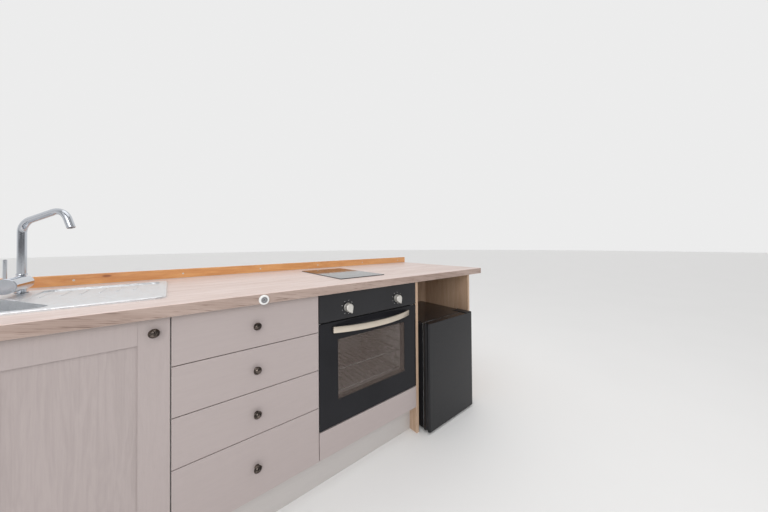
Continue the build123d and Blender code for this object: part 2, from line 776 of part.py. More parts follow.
# Hinge bodies that stand on the casing's floor and reach the door through the flange
with BuildPart() as oven_door_hinges:
    for side in (-1, 1):
        hinge_x = oven_middle_x + side * oven_hinge_spacing / 2
        board(hinge_x - oven_hinge_width / 2, hinge_x + oven_hinge_width / 2,
              casing_front_y - front_gap + running_gap, casing_front_y + oven_hinge_length,
              oven_shelf_z + oven_sheet, oven_shelf_z + oven_sheet + oven_hinge_height)
save(oven_door_hinges, "oven_door_hinges")

# Wire ladders on the cavity's sides, each with its studs, uprights and rails
rail_levels = [cavity_low_z + rail_low_level + step * rail_pitch for step in range(rail_count)]
rail_start_y = casing_front_y + rail_end_inset
upright_lines_y = (casing_front_y + rail_upright_inset,
                   casing_front_y + cavity_depth - rail_upright_inset)
upright_low_z = rail_levels[0] - rail_pitch / 2
upright_high_z = rail_levels[-1] + rail_pitch / 2
upright_offset = rail_offset - rail_to_upright
with BuildPart() as oven_side_rails:
    for side in (-1, 1):
        wall_x = oven_middle_x + side * cavity_width / 2
        with BuildSketch(Plane.XZ.offset(-rail_start_y)):
            with Locations([(wall_x - side * rail_offset, rail_z) for rail_z in rail_levels]):
                RegularPolygon(rail_wire_radius, wire_sides)
        extrude(amount=-(cavity_depth - 2 * rail_end_inset))
        with BuildSketch(Plane.XY.offset(upright_low_z)):
            with Locations([(wall_x - side * upright_offset, upright_y)
                            for upright_y in upright_lines_y]):
                RegularPolygon(rail_wire_radius, wire_sides)
        extrude(amount=upright_high_z - upright_low_z)
        with BuildSketch(Plane.YZ.offset(wall_x)):
            with Locations([(upright_y, stud_z) for upright_y in upright_lines_y
                            for stud_z in (upright_low_z + rail_wire_radius,
                                           upright_high_z - rail_wire_radius)]):
                RegularPolygon(rail_wire_radius, wire_sides)
        extrude(amount=-side * upright_offset)
save(oven_side_rails, "oven_side_rails")

# Racks whose end wires rest on the ladders' rails, flat side on flat side
rack_width = cavity_width - 2 * rail_offset
rack_front_y = casing_front_y + rack_front_inset
rack_depth = cavity_depth - rack_front_inset - rack_back_inset
rack_rise = (rail_wire_radius + rack_wire_radius) * cos(pi / wire_sides)
rack_levels = [rail_levels[step] + rack_rise for step in racks_on_rails]
rack_wire_pitch = (rack_width - 2 * rack_wire_radius) / (rack_wire_count - 1)
with BuildPart() as oven_racks:
    for rack_z in rack_levels:
        with BuildSketch(Plane.YZ.offset(oven_middle_x - rack_width / 2)):
            with Locations((rack_front_y, rack_z), (rack_front_y + rack_depth, rack_z)):
                RegularPolygon(rack_wire_radius, wire_sides)
        extrude(amount=rack_width)
        with BuildSketch(Plane.XZ.offset(-rack_front_y)):
            with Locations((oven_middle_x, rack_z)):
                with GridLocations(rack_wire_pitch, 0, rack_wire_count, 1):
                    RegularPolygon(rack_wire_radius, wire_sides)
        extrude(amount=-rack_depth)
save(oven_racks, "oven_racks")

# Oven control panel: the glass-faced front and the box behind it
with BuildPart() as oven_control_panel:
    board(oven_middle_x - oven_front_width / 2, oven_middle_x + oven_front_width / 2, front_y,
          carcass_front_y, oven_panel_low_z, front_high_z)
    board(oven_middle_x - oven_body_width / 2, oven_middle_x + oven_body_width / 2,
          carcass_front_y, casing_front_y, oven_panel_low_z, casing_top_z)
    chamfer(oven_control_panel.edges().group_by(Axis.Y)[0], oven_bevel)
save(oven_control_panel, "oven_control_panel")

# Oven knobs: drop-shaped, with the tail leaning to the right
oven_knob_z = oven_panel_low_z + oven_knob_height
tail_reach = oven_knob_tail - oven_knob_tail_radius
tail_shift = (tail_reach * sin(radians(oven_knob_lean)),
              -tail_reach * cos(radians(oven_knob_lean)))
for side, name in ((-1, "oven_knob_left"), (1, "oven_knob_right")):
    oven_knob_x = oven_middle_x + side * oven_knob_spacing / 2
    with BuildPart() as oven_knob:
        with BuildSketch(Plane.XZ.offset(-(front_y - running_gap))) as drop_shape:
            with Locations((oven_knob_x, oven_knob_z)):
                Circle(oven_knob_radius)
            with Locations((oven_knob_x + tail_shift[0], oven_knob_z + tail_shift[1])):
                Circle(oven_knob_tail_radius)
            make_hull()
        extrude(amount=oven_knob_reach)
        chamfer(oven_knob.edges().group_by(Axis.Y)[0], oven_glass_corner)
    save(oven_knob, name)

# Oven door: front glass, and the frame behind it with its window
oven_glass_back_y = front_y + oven_glass_thickness
oven_window_middle = (oven_middle_x, oven_door_middle[1] + oven_window_raise)
with BuildPart() as oven_door_glass:
    with BuildSketch(Plane.XZ.offset(-front_y)):
        with Locations(oven_door_middle):
            RectangleRounded(oven_front_width, oven_door_height, oven_glass_corner)
    extrude(amount=-oven_glass_thickness)
    chamfer(oven_door_glass.edges().group_by(Axis.Y)[0], oven_bevel)
save(oven_door_glass, "oven_door_glass")

with BuildPart() as oven_door:
    with BuildSketch(Plane.XZ.offset(-oven_glass_back_y)):
        with Locations(oven_door_middle):
            Rectangle(oven_body_width - 2 * oven_door_side_inset,
                      oven_door_height - 2 * oven_door_end_inset)
        with Locations(oven_window_middle):
            Rectangle(oven_window_width, oven_window_height, mode=Mode.SUBTRACT)
    extrude(amount=-(oven_door_thickness - oven_glass_thickness))
save(oven_door, "oven_door")

# Handle: a flat strip bowed outwards between two feet on the glass
oven_handle_z = oven_door_top_z - oven_handle_drop
handle_back_y = front_y - oven_handle_reach + oven_handle_thickness
with BuildPart() as oven_handle:
    with BuildSketch(Plane.XY.offset(oven_handle_z - oven_handle_height / 2)):
        with BuildLine():
            ends = [(oven_middle_x + side * oven_handle_length / 2,
                     handle_back_y + oven_handle_bow) for side in (-1, 1)]
            back = ThreePointArc(ends[0], (oven_middle_x, handle_back_y), ends[1])
            front = ThreePointArc((ends[0][0], ends[0][1] - oven_handle_thickness),
                                  (oven_middle_x, handle_back_y - oven_handle_thickness),
                                  (ends[1][0], ends[1][1] - oven_handle_thickness))
            Line(back @ 0, front @ 0)
            Line(back @ 1, front @ 1)
        make_face()
    extrude(amount=oven_handle_height)
    with BuildSketch(Plane.XZ.offset(-front_y)):
        with Locations((oven_middle_x, oven_handle_z)):
            with GridLocations(oven_handle_length - oven_handle_foot, 0, 2, 1):
                Rectangle(oven_handle_foot, oven_handle_height)
    extrude(amount=oven_handle_reach - oven_handle_bow)
save(oven_handle, "oven_handle")

with BuildPart() as oven_filler:
    board(oven_unit_x + reveal / 2, oven_panel_x - reveal / 2, front_y, carcass_front_y,
          front_low_z, front_low_z + oven_filler_height)
    chamfer(oven_filler.edges().group_by(Axis.Y)[0], edge_radius)
save(oven_filler, "oven_filler")

# Fridge cabinet with its inner space
fridge_x = fridge_bay_x + fridge_left_clearance
fridge_right_x = fridge_x + fridge_width
fridge_middle_x = (fridge_x + fridge_right_x) / 2
fridge_low_z = fridge_foot_height
fridge_door_back_y = fridge_front_y + fridge_door_thickness
with BuildPart() as fridge_cabinet:
    board(fridge_x, fridge_right_x, fridge_body_y, fridge_body_y + fridge_body_depth,
          fridge_low_z, fridge_height)
    fillet(fridge_cabinet.edges().filter_by(Axis.Y), fridge_corner_radius)
    with BuildSketch(Plane.XZ.offset(-fridge_body_y)):
        with Locations((fridge_middle_x, (fridge_low_z + fridge_height) / 2)):
            RectangleRounded(fridge_width - 2 * fridge_wall,
                             fridge_height - fridge_low_z - 2 * fridge_wall,
                             fridge_inner_radius)
    extrude(amount=-(fridge_body_depth - fridge_wall), mode=Mode.SUBTRACT)
save(fridge_cabinet, "fridge_cabinet")

# Fridge door with round front corners and a full-height grip channel at its left
with BuildPart() as fridge_door:
    with BuildSketch(Plane.XY.offset(fridge_low_z + running_gap)) as door_plan:
        with Locations((fridge_middle_x, fridge_front_y + fridge_door_thickness / 2)):
            Rectangle(fridge_width, fridge_door_thickness)
        fillet(door_plan.vertices().group_by(Axis.Y)[0], fridge_corner_radius)
        with Locations((fridge_x, fridge_front_y + fridge_grip_depth)):
            Circle(fridge_grip_radius, mode=Mode.SUBTRACT)
    extrude(amount=fridge_height - fridge_low_z - 2 * running_gap)
save(fridge_door, "fridge_door")

# Trays on the inside of the fridge door, open at the top and towards the door
tray_half_width = (fridge_width - 2 * fridge_wall) / 2 - tray_side_gap
with BuildPart() as fridge_door_trays:
    for level in tray_levels:
        tray_z = fridge_low_z + level
        board(fridge_middle_x - tray_half_width, fridge_middle_x + tray_half_width,
              fridge_door_back_y, fridge_door_back_y + tray_depth, tray_z,
              tray_z + tray_height)
    for level in tray_levels:
        with BuildSketch(Plane.XY.offset(fridge_low_z + level + tray_wall)):
            with Locations((fridge_middle_x,
                            fridge_door_back_y + (tray_depth - tray_wall) / 2)):
                Rectangle(2 * (tray_half_width - tray_wall), tray_depth - tray_wall)
        extrude(amount=tray_height, mode=Mode.SUBTRACT)
save(fridge_door_trays, "fridge_door_trays")

with BuildPart() as fridge_hinges:
    for hinge_z in (fridge_low_z - fridge_hinge_thickness, fridge_height):
        board(fridge_right_x - fridge_hinge_length, fridge_right_x - fridge_hinge_inset,
              fridge_front_y + fridge_hinge_inset, fridge_body_y + fridge_hinge_length,
              hinge_z, hinge_z + fridge_hinge_thickness)
save(fridge_hinges, "fridge_hinges")

shelf_pitch = (fridge_height - fridge_low_z - 2 * fridge_wall) / (shelf_count + 1)
shelf_levels = [fridge_low_z + fridge_wall + shelf_pitch * (step + 1)
                for step in range(shelf_count)]
with BuildPart() as fridge_shelves:
    for shelf_z in shelf_levels:
        board(fridge_x + fridge_wall + running_gap, fridge_right_x - fridge_wall - running_gap,
              fridge_body_y + shelf_front_inset,
              fridge_body_y + fridge_body_depth - fridge_wall - shelf_back_gap,
              shelf_z, shelf_z + shelf_thickness)
save(fridge_shelves, "fridge_shelves")

with BuildPart() as fridge_feet:
    with BuildSketch(Plane.XY):
        with Locations((fridge_middle_x, fridge_body_y + fridge_body_depth / 2)):
            with GridLocations(fridge_width - 2 * fridge_foot_inset,
                               fridge_body_depth - 2 * fridge_foot_depth_inset, 2, 2):
                Circle(fridge_foot_radius)
    extrude(amount=fridge_foot_height)
save(fridge_feet, "fridge_feet")

# Towel holder: a white disc with a blind hole, on the worktop's front edge
towel_holder_middle = (drawer_unit_x + towel_holder_offset, worktop_top_z - towel_holder_drop)
with BuildPart() as towel_holder:
    with BuildSketch(Plane.XZ.offset(-worktop_front_y)):
        with Locations(towel_holder_middle):
            Circle(towel_holder_radius)
    extrude(amount=towel_holder_thickness)
    chamfer(towel_holder.edges().group_by(Axis.Y)[0], towel_holder_bevel)
    with BuildSketch(Plane.XZ.offset(-(worktop_front_y - towel_holder_thickness))):
        with Locations(towel_holder_middle):
            Circle(towel_hole_radius)
    extrude(amount=-towel_hole_depth, mode=Mode.SUBTRACT)
save(towel_holder, "towel_holder")
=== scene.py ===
"""Finishes and small pieces for a fitted kitchen run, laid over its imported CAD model."""

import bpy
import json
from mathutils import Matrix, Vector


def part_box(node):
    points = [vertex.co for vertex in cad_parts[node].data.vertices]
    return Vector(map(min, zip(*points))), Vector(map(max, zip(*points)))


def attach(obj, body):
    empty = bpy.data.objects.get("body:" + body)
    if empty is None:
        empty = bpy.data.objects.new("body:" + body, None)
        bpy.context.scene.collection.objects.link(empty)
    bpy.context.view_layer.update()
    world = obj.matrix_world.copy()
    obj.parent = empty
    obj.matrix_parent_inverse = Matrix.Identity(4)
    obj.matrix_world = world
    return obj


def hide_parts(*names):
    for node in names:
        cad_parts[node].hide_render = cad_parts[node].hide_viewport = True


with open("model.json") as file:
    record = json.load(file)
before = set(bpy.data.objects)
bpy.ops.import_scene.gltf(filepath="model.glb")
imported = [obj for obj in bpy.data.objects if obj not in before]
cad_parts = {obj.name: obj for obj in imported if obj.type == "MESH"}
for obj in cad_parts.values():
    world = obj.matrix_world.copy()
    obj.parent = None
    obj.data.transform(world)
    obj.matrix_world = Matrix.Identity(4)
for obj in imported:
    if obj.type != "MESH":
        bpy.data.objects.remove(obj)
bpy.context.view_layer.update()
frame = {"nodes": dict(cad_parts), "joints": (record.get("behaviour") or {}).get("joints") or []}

import json
from math import cos, pi, radians, sin

import bmesh
import bpy
import numpy as np
from bpy.props import FloatProperty, FloatVectorProperty, IntProperty, PointerProperty
from mathutils import Matrix

bl_info = {
    "name": "Fitted kitchen run",
    "version": (1, 0, 0),
    "blender": (4, 5, 0),
    "location": "View3D > Sidebar > Kitchen run",
    "description": "Finishes, knobs, tap, oven and fridge details of a fitted kitchen run",
    "category": "Object",
}

NODES = frame["nodes"]
FRONTS = ("door_left", "door_right", "drawer_1_front", "drawer_2_front", "drawer_3_front",
          "drawer_4_front", "oven_filler")
KNOB_BODIES = ("door_left", "door_right", "drawer_1", "drawer_2", "drawer_3", "drawer_4")
OVEN_KNOBS = ("oven_knob_left", "oven_knob_right")
ALONG, INTO_WALL, UP = np.eye(3)
OUT_OF_WALL = -INTO_WALL
QUARTER = (0.0, radians(90), 0.0)
PALE_DUST, GREY_DUST = (0.35, 0.34, 0.33, 1.0), (0.30, 0.29, 0.28, 1.0)


def colour(name, description, default):
    """A colour that the user may change."""
    return FloatVectorProperty(name=name, description=description, subtype="COLOR", size=3,
                               default=default, min=0.0, max=1.0)


def distance(name, description, default):
    """A length that the user may change, in metres."""
    return FloatProperty(name=name, description=description, default=default, min=0.0,
                         subtype="DISTANCE", unit="LENGTH", precision=4)


class BoardFinishes(bpy.types.PropertyGroup):
    """Colours of the boards, from the worktop down to the plinth."""
    worktop_pale: colour("Worktop, pale", "Ground of the worktop's oak foil", (0.74, 0.61, 0.57))
    worktop_dark: colour("Worktop, dark", "Figure of the worktop's oak foil", (0.55, 0.42, 0.37))
    worktop_line: colour("Worktop, pores", "Pores of the worktop's oak foil",
                         (0.42, 0.29, 0.225))
    # The edge tape's colours are much darker than the foil on top. This is partly the tape's own
    # tone and partly painted shade on the worktop's front edge.
    edge_tape_and_shade_pale: colour("Worktop edge, pale", "Ground of the worktop's edge tape",
                      (0.47, 0.365, 0.32))
    edge_tape_and_shade_dark: colour("Worktop edge, dark", "Grain of the worktop's edge tape",
                      (0.25, 0.165, 0.13))
    front_pale: colour("Fronts, pale", "Ground of the doors' and drawers' foil",
                       (0.43, 0.37, 0.36))
    front_dark: colour("Fronts, dark", "Grain of the doors' and drawers' foil",
                       (0.35, 0.30, 0.29))
    oak_pale: colour("Oak panels, pale", "Ground of the end panels' oak foil",
                     (0.60, 0.445, 0.33))
    oak_dark: colour("Oak panels, dark", "Figure of the end panels' oak foil",
                     (0.43, 0.28, 0.18))
    oak_line: colour("Oak panels, pores", "Pores of the end panels' oak foil",
                     (0.27, 0.155, 0.09))
    pine_pale: colour("Pine, pale", "Early wood of the varnished upstand", (0.78, 0.42, 0.17))
    pine_dark: colour("Pine, dark", "Late wood of the varnished upstand", (0.50, 0.185, 0.05))
    pine_knot: colour("Pine, knots", "Knots of the varnished upstand", (0.30, 0.10, 0.03))
    carcass: colour("Carcasses", "Melamine face of the carcass boards", (0.80, 0.79, 0.765))
    carcass_core: colour("Board core", "Chipboard where a board's edge is raw",
                         (0.48, 0.35, 0.22))
    plinth: colour("Plinth", "Face of the plinth board", (0.53, 0.50, 0.485))


class MetalFinishes(bpy.types.PropertyGroup):
    """Colours of the metals and of the glossy black parts."""
    steel: colour("Sink steel", "Stainless steel of the sink", (0.93, 0.945, 0.965))
    chrome: colour("Chrome", "Plating of the tap", (0.60, 0.625, 0.67))
    bronze: colour("Knob bronze", "Antique bronze of the knobs", (0.045, 0.038, 0.034))
    bronze_worn: colour("Knob bronze, worn", "Bronze that hands have rubbed bright",
                        (0.19, 0.155, 0.135))
    champagne: colour("Oven handle", "Anodised handle of the oven", (0.74, 0.66, 0.56))
    silver: colour("Oven knobs", "Satin paint of the oven's knobs", (0.66, 0.64, 0.60))
    wire: colour("Rack wire", "Plated wire of the racks", (0.70, 0.70, 0.71))
    black: colour("Black glass", "Print behind the black glass", (0.012, 0.012, 0.014))
    enamel: colour("Oven enamel", "Ground of the oven's enamel", (0.42, 0.41, 0.40))
    print_white: colour("Print", "Printed marks on the black glass", (0.78, 0.78, 0.77))


class KnobShape(bpy.types.PropertyGroup):
    """Turned knob of the doors and drawers."""
    rim_radius: distance("Rim radius", "Radius of the knob's widest ring", 0.0142)
    reach: distance("Reach", "How far the knob stands off its front", 0.027)
    rim_level: distance("Rim level", "Height of the widest ring over the front", 0.0175)
    neck_radius: distance("Neck radius", "Radius of the knob's waist", 0.006)
    foot_radius: distance("Foot radius", "Radius of the foot on the front", 0.009)
    facets: IntProperty(name="Facets", description="Points round each knob", default=64, min=12)


class OvenDetail(bpy.types.PropertyGroup):
    """Printed marks, handle and window of the oven."""
    handle_thickness: distance("Handle thickness", "Thickness of the bowed strip", 0.008)
    handle_bow: distance("Handle bow", "How far the strip's middle stands past its ends", 0.048)
    handle_foot: distance("Handle foot", "Length of each foot on the glass", 0.016)
    dial_radius: distance("Dial radius", "Radius of the ring of dots round a knob", 0.031)
    dial_dot: distance("Dial dot", "Radius of one dot round a knob", 0.0013)
    window_tint: FloatProperty(
        name="Window tint",
        description="How much of the view into the oven its front glass covers",
        default=0.30, min=0.0, max=1.0, subtype="FACTOR")
    # The window's brown veil is painted reflection of a brown floor, laid over the glass's tint.
    painted_window_reflection: colour("Window veil", "Brown coating on the oven's window",
                        (0.15, 0.115, 0.10))


class HobPrint(bpy.types.PropertyGroup):
    """Rings printed on the hob's glass."""
    back_zone: distance("Back zone", "Radius of the back cooking zone", 0.0725)
    front_zone: distance("Front zone", "Radius of the front cooking zone", 0.09)
    line: distance("Line", "Width of the printed rings", 0.0016)


class StageSettings(bpy.types.PropertyGroup):
    """Floor, light and camera."""
    floor: colour("Floor", "Plain pale floor", (0.86, 0.855, 0.85))
    backdrop: colour("Backdrop", "What the camera sees behind the run", (0.84, 0.84, 0.84))
    dim_side: colour("Dim side", "What gloss mirrors from the side that the fronts face",
                     (0.10, 0.10, 0.105))
    sky: FloatProperty(name="Room light", description="Strength of the light from all round",
                       default=1.0, min=0.0)
    key: FloatProperty(name="Key lamp", description="Power of the large lamp at the front left",
                       default=42.0, min=0.0, subtype="POWER", unit="POWER")
    fill: FloatProperty(name="Fill lamp", description="Power of the lamp over the run",
                        default=14.0, min=0.0, subtype="POWER", unit="POWER")
    lens: FloatProperty(name="Lens", description="Focal length on a 36 mm wide sensor",
                        default=12.4, min=1.0, subtype="DISTANCE_CAMERA")
    camera_place: FloatVectorProperty(name="Camera", description="Where the camera stands",
                                      default=(-0.4634, -1.4436, 1.0930), size=3,
                                      subtype="TRANSLATION", unit="LENGTH")
    camera_yaw: FloatProperty(name="Yaw", description="Turn of the view from +Y towards +X",
                              default=radians(39.1), subtype="ANGLE", unit="ROTATION")


SETTINGS = {"kitchen_boards": BoardFinishes, "kitchen_metals": MetalFinishes,
            "kitchen_knobs": KnobShape, "kitchen_oven": OvenDetail, "kitchen_hob": HobPrint,
            "kitchen_stage": StageSettings}


# Node trees


def feed(socket, value):
    """Links an input to a signal, or sets it to any other value."""
    if isinstance(value, Signal):
        socket.id_data.links.new(value.socket, socket)
    else:
        socket.default_value = value


def signals(node):
    """A node's outputs as signals, by name."""
    return {socket.name: Signal(socket) for socket in node.outputs}


def add(tree, kind, inputs, out=0, **settings):
    """One output of a new node, with its settings set and its inputs fed."""
    node = tree.nodes.new(kind)
    for key, value in settings.items():
        setattr(node, key, value)
    for key, value in inputs.items():
        feed(node.inputs[key], value)
    return Signal(node.outputs[out])


def compute(tree, operation, first, second=0.0, clamp=False):
    """The result of a math node."""
    return add(tree, "ShaderNodeMath", {0: first, 1: second, 2: 0.0}, operation=operation,
               use_clamp=clamp)


class Signal:
    """An output socket. What is done with it adds a node to its tree."""

    def __init__(self, socket):
        self.socket, self.tree = socket, socket.id_data

    def math(self, operation, second=0.0, clamp=False):
        return compute(self.tree, operation, self, second, clamp)

    def __add__(self, other):
        return self.math("ADD", other)

    def __sub__(self, other):
        return self.math("SUBTRACT", other)

    def __mul__(self, other):
        return self.math("MULTIPLY", other)

    def __truediv__(self, other):
        return self.math("DIVIDE", other)

    def __lt__(self, other):
        return self.math("LESS_THAN", other)

    def __gt__(self, other):
        return self.math("GREATER_THAN", other)

    def spread(self, low, high, to_low=0.0, to_high=1.0, smooth=False):
        """Carries the range from low to high over to another, and holds it there."""
        return add(self.tree, "ShaderNodeMapRange",
                   {"Value": self, "From Min": low, "From Max": high, "To Min": to_low,
                    "To Max": to_high},
                   interpolation_type="SMOOTHSTEP" if smooth else "LINEAR")

    def mix(self, first, second):
        """The first value where the signal is nought, and the second where it is one."""
        return add(self.tree, "ShaderNodeMix", {0: self, 6: first, 7: second}, 2,
                   data_type="RGBA")

    def bump(self, strength, depth):
        return add(self.tree, "ShaderNodeBump", {"Height": self, "Strength": strength,
                                                 "Distance": depth})

    def vector(self, operation, second=(0, 0, 0), out=0):
        return add(self.tree, "ShaderNodeVectorMath", {0: self, 1: second}, out,
                   operation=operation)

    def mapped(self, scale=(1, 1, 1), turn=(0, 0, 0), shift=(0, 0, 0)):
        return add(self.tree, "ShaderNodeMapping", {"Vector": self, "Scale": scale,
                                                    "Rotation": turn, "Location": shift})

    def noise(self, scale, detail=2.0, rough=0.5, bend=0.0):
        return add(self.tree, "ShaderNodeTexNoise", {
            "Vector": self, "Scale": scale, "Detail": detail, "Roughness": rough,
            "Distortion": bend})

    def voronoi(self, scale, out=0):
        return add(self.tree, "ShaderNodeTexVoronoi", {"Vector": self, "Scale": scale}, out)

    def parts(self):
        node = self.tree.nodes.new("ShaderNodeSeparateXYZ")
        feed(node.inputs[0], self)
        return tuple(signals(node).values())

    def effect(self, name, **inputs):
        """The outputs of a shared effect at the place that this signal gives."""
        node = self.tree.nodes.new("ShaderNodeGroup")
        node.node_tree = bpy.data.node_groups[name]
        for key, value in {"Vector": self, **inputs}.items():
            feed(node.inputs[key], value)
        return signals(node)

    def inside(self, low, high, soft):
        """One inside the box from low to high."""
        return self.effect("box mask", Low=low, High=high, Soft=soft)["Mask"]

    def ring(self, centre, radius, width):
        """One on a circle in the XY plane."""
        return self.effect("printed ring", Centre=centre, Radius=radius,
                           Width=width)["Mask"]

    def dots(self, centre, radius, dot, count):
        """One on dots round a circle in the XZ plane."""
        return self.effect("dial dots", Centre=centre, Radius=radius, Dot=dot,
                           Count=count)["Mask"]

    def lit_through(self):
        """This alpha, but lamps and daylight shine through what it leaves clear."""
        path = signals(self.tree.nodes.new("ShaderNodeLightPath"))
        lighting = path["Is Shadow Ray"].math("MAXIMUM", path["Is Diffuse Ray"])
        return lighting.mix(self, self * (self > 0.9))


def fill_wood(given):
    """Figure in long bands, fine fibres and short dark pores, all drawn out along local X."""
    place = given["Vector"]
    figure = place.mapped((0.45, 5.0, 5.0)).noise(given["Figure"], 4.0, 0.55, 0.7)
    rings = (figure * 9.0).math("PINGPONG", 1.0)
    bands = place.mapped((0.3, 2.2, 2.2)).noise(given["Figure"]).spread(0.3, 0.7)
    fibres = place.mapped((2.0, 90.0, 90.0)).noise(given["Fibre"], 3.0, 0.6)
    pores = place.mapped((9.0, 210.0, 210.0)).noise(given["Fibre"]).spread(0.58, 0.72)
    share = rings * 0.42 + fibres.spread(0.3, 0.7) * 0.34 + bands * given["Bands"]
    share = share.math("MULTIPLY", given["Contrast"], clamp=True)
    ground = share.mix(given["Pale"], given["Dark"])
    return {"Color": (pores * given["Pores"]).mix(ground, given["Line"]),
            "Height": fibres * 0.5 - pores * 0.5, "Grain": share}


def depths(given):
    """How far a place lies inside each pair of faces of the box from Low to High."""
    past_low = given["Vector"].vector("SUBTRACT", given["Low"])
    return past_low.vector("MINIMUM", given["High"].vector("SUBTRACT", given["Vector"]))


def fill_box_mask(given):
    """One inside the box from Low to High, falling to nought over Soft at its faces."""
    x, y, z = depths(given).parts()
    return {"Mask": x.math("MINIMUM", y).math("MINIMUM", z).spread(0.0, given["Soft"])}


def fill_edge_wear(given):
    """One on the edges of the box from Low to High, broken up by noise: the second smallest
    of the distances to its faces tells how near an edge a point is."""
    x, y, z = depths(given).vector("ABSOLUTE").parts()
    least = x.math("MINIMUM", y).math("MINIMUM", z)
    most = x.math("MAXIMUM", y).math("MAXIMUM", z)
    second = x + y + z - least - most
    near = compute(x.tree, "SUBTRACT", 1.0, second / given["Width"], clamp=True)
    broken = given["Vector"].noise(38.0, 4.0, 0.65).spread(0.36, 0.66)
    return {"Mask": near.math("MULTIPLY", broken, clamp=True)}


def fill_handling(given):
    """Faint smears and dust: two sizes of soft noise, of which only the tops count."""
    smears = given["Vector"].mapped((1.0, 1.0, 0.45)).noise(7.0, 4.0, 0.62, 1.4)
    return {"Smears": smears.spread(0.45, 0.75),
            "Dust": given["Vector"].noise(420.0).spread(0.62, 0.80)}


def fill_brushed(given):
    """Hair lines along local X: noise drawn out 80 times as far along as across."""
    lines = given["Vector"].mapped((6.0, 480.0, 480.0)).noise(given["Scale"], 3.0, 0.7)
    broad = given["Vector"].mapped((2.0, 60.0, 60.0)).noise(given["Scale"])
    return {"Lines": lines * 0.7 + broad * 0.3}


def fill_ring(given):
    """One on a circle of the given Radius and Width round Centre, in the XY plane."""
    across = given["Vector"].vector("SUBTRACT", given["Centre"])
    away = across.vector("MULTIPLY", (1.0, 1.0, 0.0)).vector("LENGTH", out="Value")
    return {"Mask": (away - given["Radius"]).math("ABSOLUTE") < given["Width"]}


def fill_dial(given):
    """Dots on a circle in the XZ plane: the angle is folded into one sector, and the point's
    distance to the dot in the middle of that sector is compared with the dot's radius."""
    x, _, z = given["Vector"].vector("SUBTRACT", given["Centre"]).parts()
    away = (x * x + z * z).math("SQRT")
    angle = z.math("ARCTAN2", x)
    step = compute(x.tree, "DIVIDE", 2.0 * pi, given["Count"])
    turn = angle - (angle / step).math("ROUND") * step
    dx = away * turn.math("COSINE") - given["Radius"]
    dz = away * turn.math("SINE")
    return {"Mask": (dx * dx + dz * dz).math("SQRT") < given["Dot"]}


ORIGIN = (0.0, 0.0, 0.0)
EFFECTS = {
    "wood grain": (fill_wood, {
        "Pale": [0.7, 0.6, 0.5, 1.0], "Dark": [0.5, 0.4, 0.3, 1.0],
        "Line": [0.3, 0.2, 0.1, 1.0], "Figure": 3.0, "Fibre": 4.0, "Contrast": 1.0,
        "Bands": 0.24, "Pores": 0.4}),
    "box mask": (fill_box_mask, {"Low": ORIGIN, "High": ORIGIN, "Soft": 0.001}),
    "edge wear": (fill_edge_wear, {"Low": ORIGIN, "High": ORIGIN, "Width": 0.004}),
    "handling": (fill_handling, {}),
    "brushed": (fill_brushed, {"Scale": 1.0}),
    "printed ring": (fill_ring, {"Centre": ORIGIN, "Radius": 0.1, "Width": 0.001}),
    "dial dots": (fill_dial, {"Centre": ORIGIN, "Radius": 0.03, "Dot": 0.001, "Count": 12.0}),
}
SOCKETS = {float: "NodeSocketFloat", tuple: "NodeSocketVector", list: "NodeSocketColor"}


def make_effects():
    """Makes the node groups of the effects that several materials share."""
    for name, (fill, inputs) in EFFECTS.items():
        tree = bpy.data.node_groups.new(name, "ShaderNodeTree")
        for label, default in {"Vector": ORIGIN, **inputs}.items():
            kind = SOCKETS[type(default)]
            socket = tree.interface.new_socket(label, in_out="INPUT", socket_type=kind)
            socket.default_value = default
        results = fill(signals(tree.nodes.new("NodeGroupInput")))
        for label in results:
            kind = SOCKETS[list if label == "Color" else float]
            tree.interface.new_socket(label, in_out="OUTPUT", socket_type=kind)
        leave = tree.nodes.new("NodeGroupOutput")
        for label, value in results.items():
            feed(leave.inputs[label], value)


# Materials


def shade(tone, factor=1.0):
    """A colour made darker or paler, with full cover, as a socket takes it."""
    return (*(min(1.0, part * factor) for part in tone[:3]), 1.0)


def material(name, fill, *nodes, **plain):
    """A material, given to the CAD nodes named. Its Principled shader has plain values, and
    the sockets that fill(place) gives."""
    made = bpy.data.materials.new(name)
    made.use_nodes = True
    tree = made.node_tree
    inputs = tree.nodes["Principled BSDF"].inputs
    for key, value in plain.items():
        inputs[key.replace("_", " ").title().replace("Ior", "IOR")].default_value = value
    for key, value in fill(add(tree, "ShaderNodeTexCoord", {}, "Object")).items():
        feed(inputs[key], value)
    for node in nodes:
        if not NODES[node].material_slots:
            NODES[node].data.materials.append(made)
        for held in NODES[node].material_slots:
            held.material = made
    return made


def wood_fill(finish, turn=(0, 0, 0), figure=3.0, fibre=3.0, contrast=1.0, pores=0.45,
              shift=(0, 0, 0), box=None, gloss=(0.42, 0.58), depth=0.0003, worn=0.5, bands=0.24):
    """Fill for wood or wood-grain foil, with the edges of its box rubbed paler. The contrast
    is a number, or a function of the place that says where it is stronger."""
    pale, dark, line = (shade(tone) for tone in finish)

    def fill(place):
        strength = contrast(place) if callable(contrast) else contrast
        grain = place.mapped(turn=turn, shift=shift).effect(
            "wood grain", Pale=pale, Dark=dark, Line=line, Figure=figure, Fibre=fibre,
            Contrast=strength, Bands=bands, Pores=pores)
        shown = grain["Color"]
        if box is not None:
            wear = place.effect("edge wear", Low=box[0], High=box[1], Width=0.0035)["Mask"]
            shown = (wear * worn).mix(shown, shade(pale, 1.35))
        smears = place.effect("handling")["Smears"]
        return {"Base Color": shown,
                "Roughness": grain["Grain"].spread(0.0, 1.0, *gloss) + smears * 0.08,
                "Normal": grain["Height"].bump(0.35, depth)}
    return fill


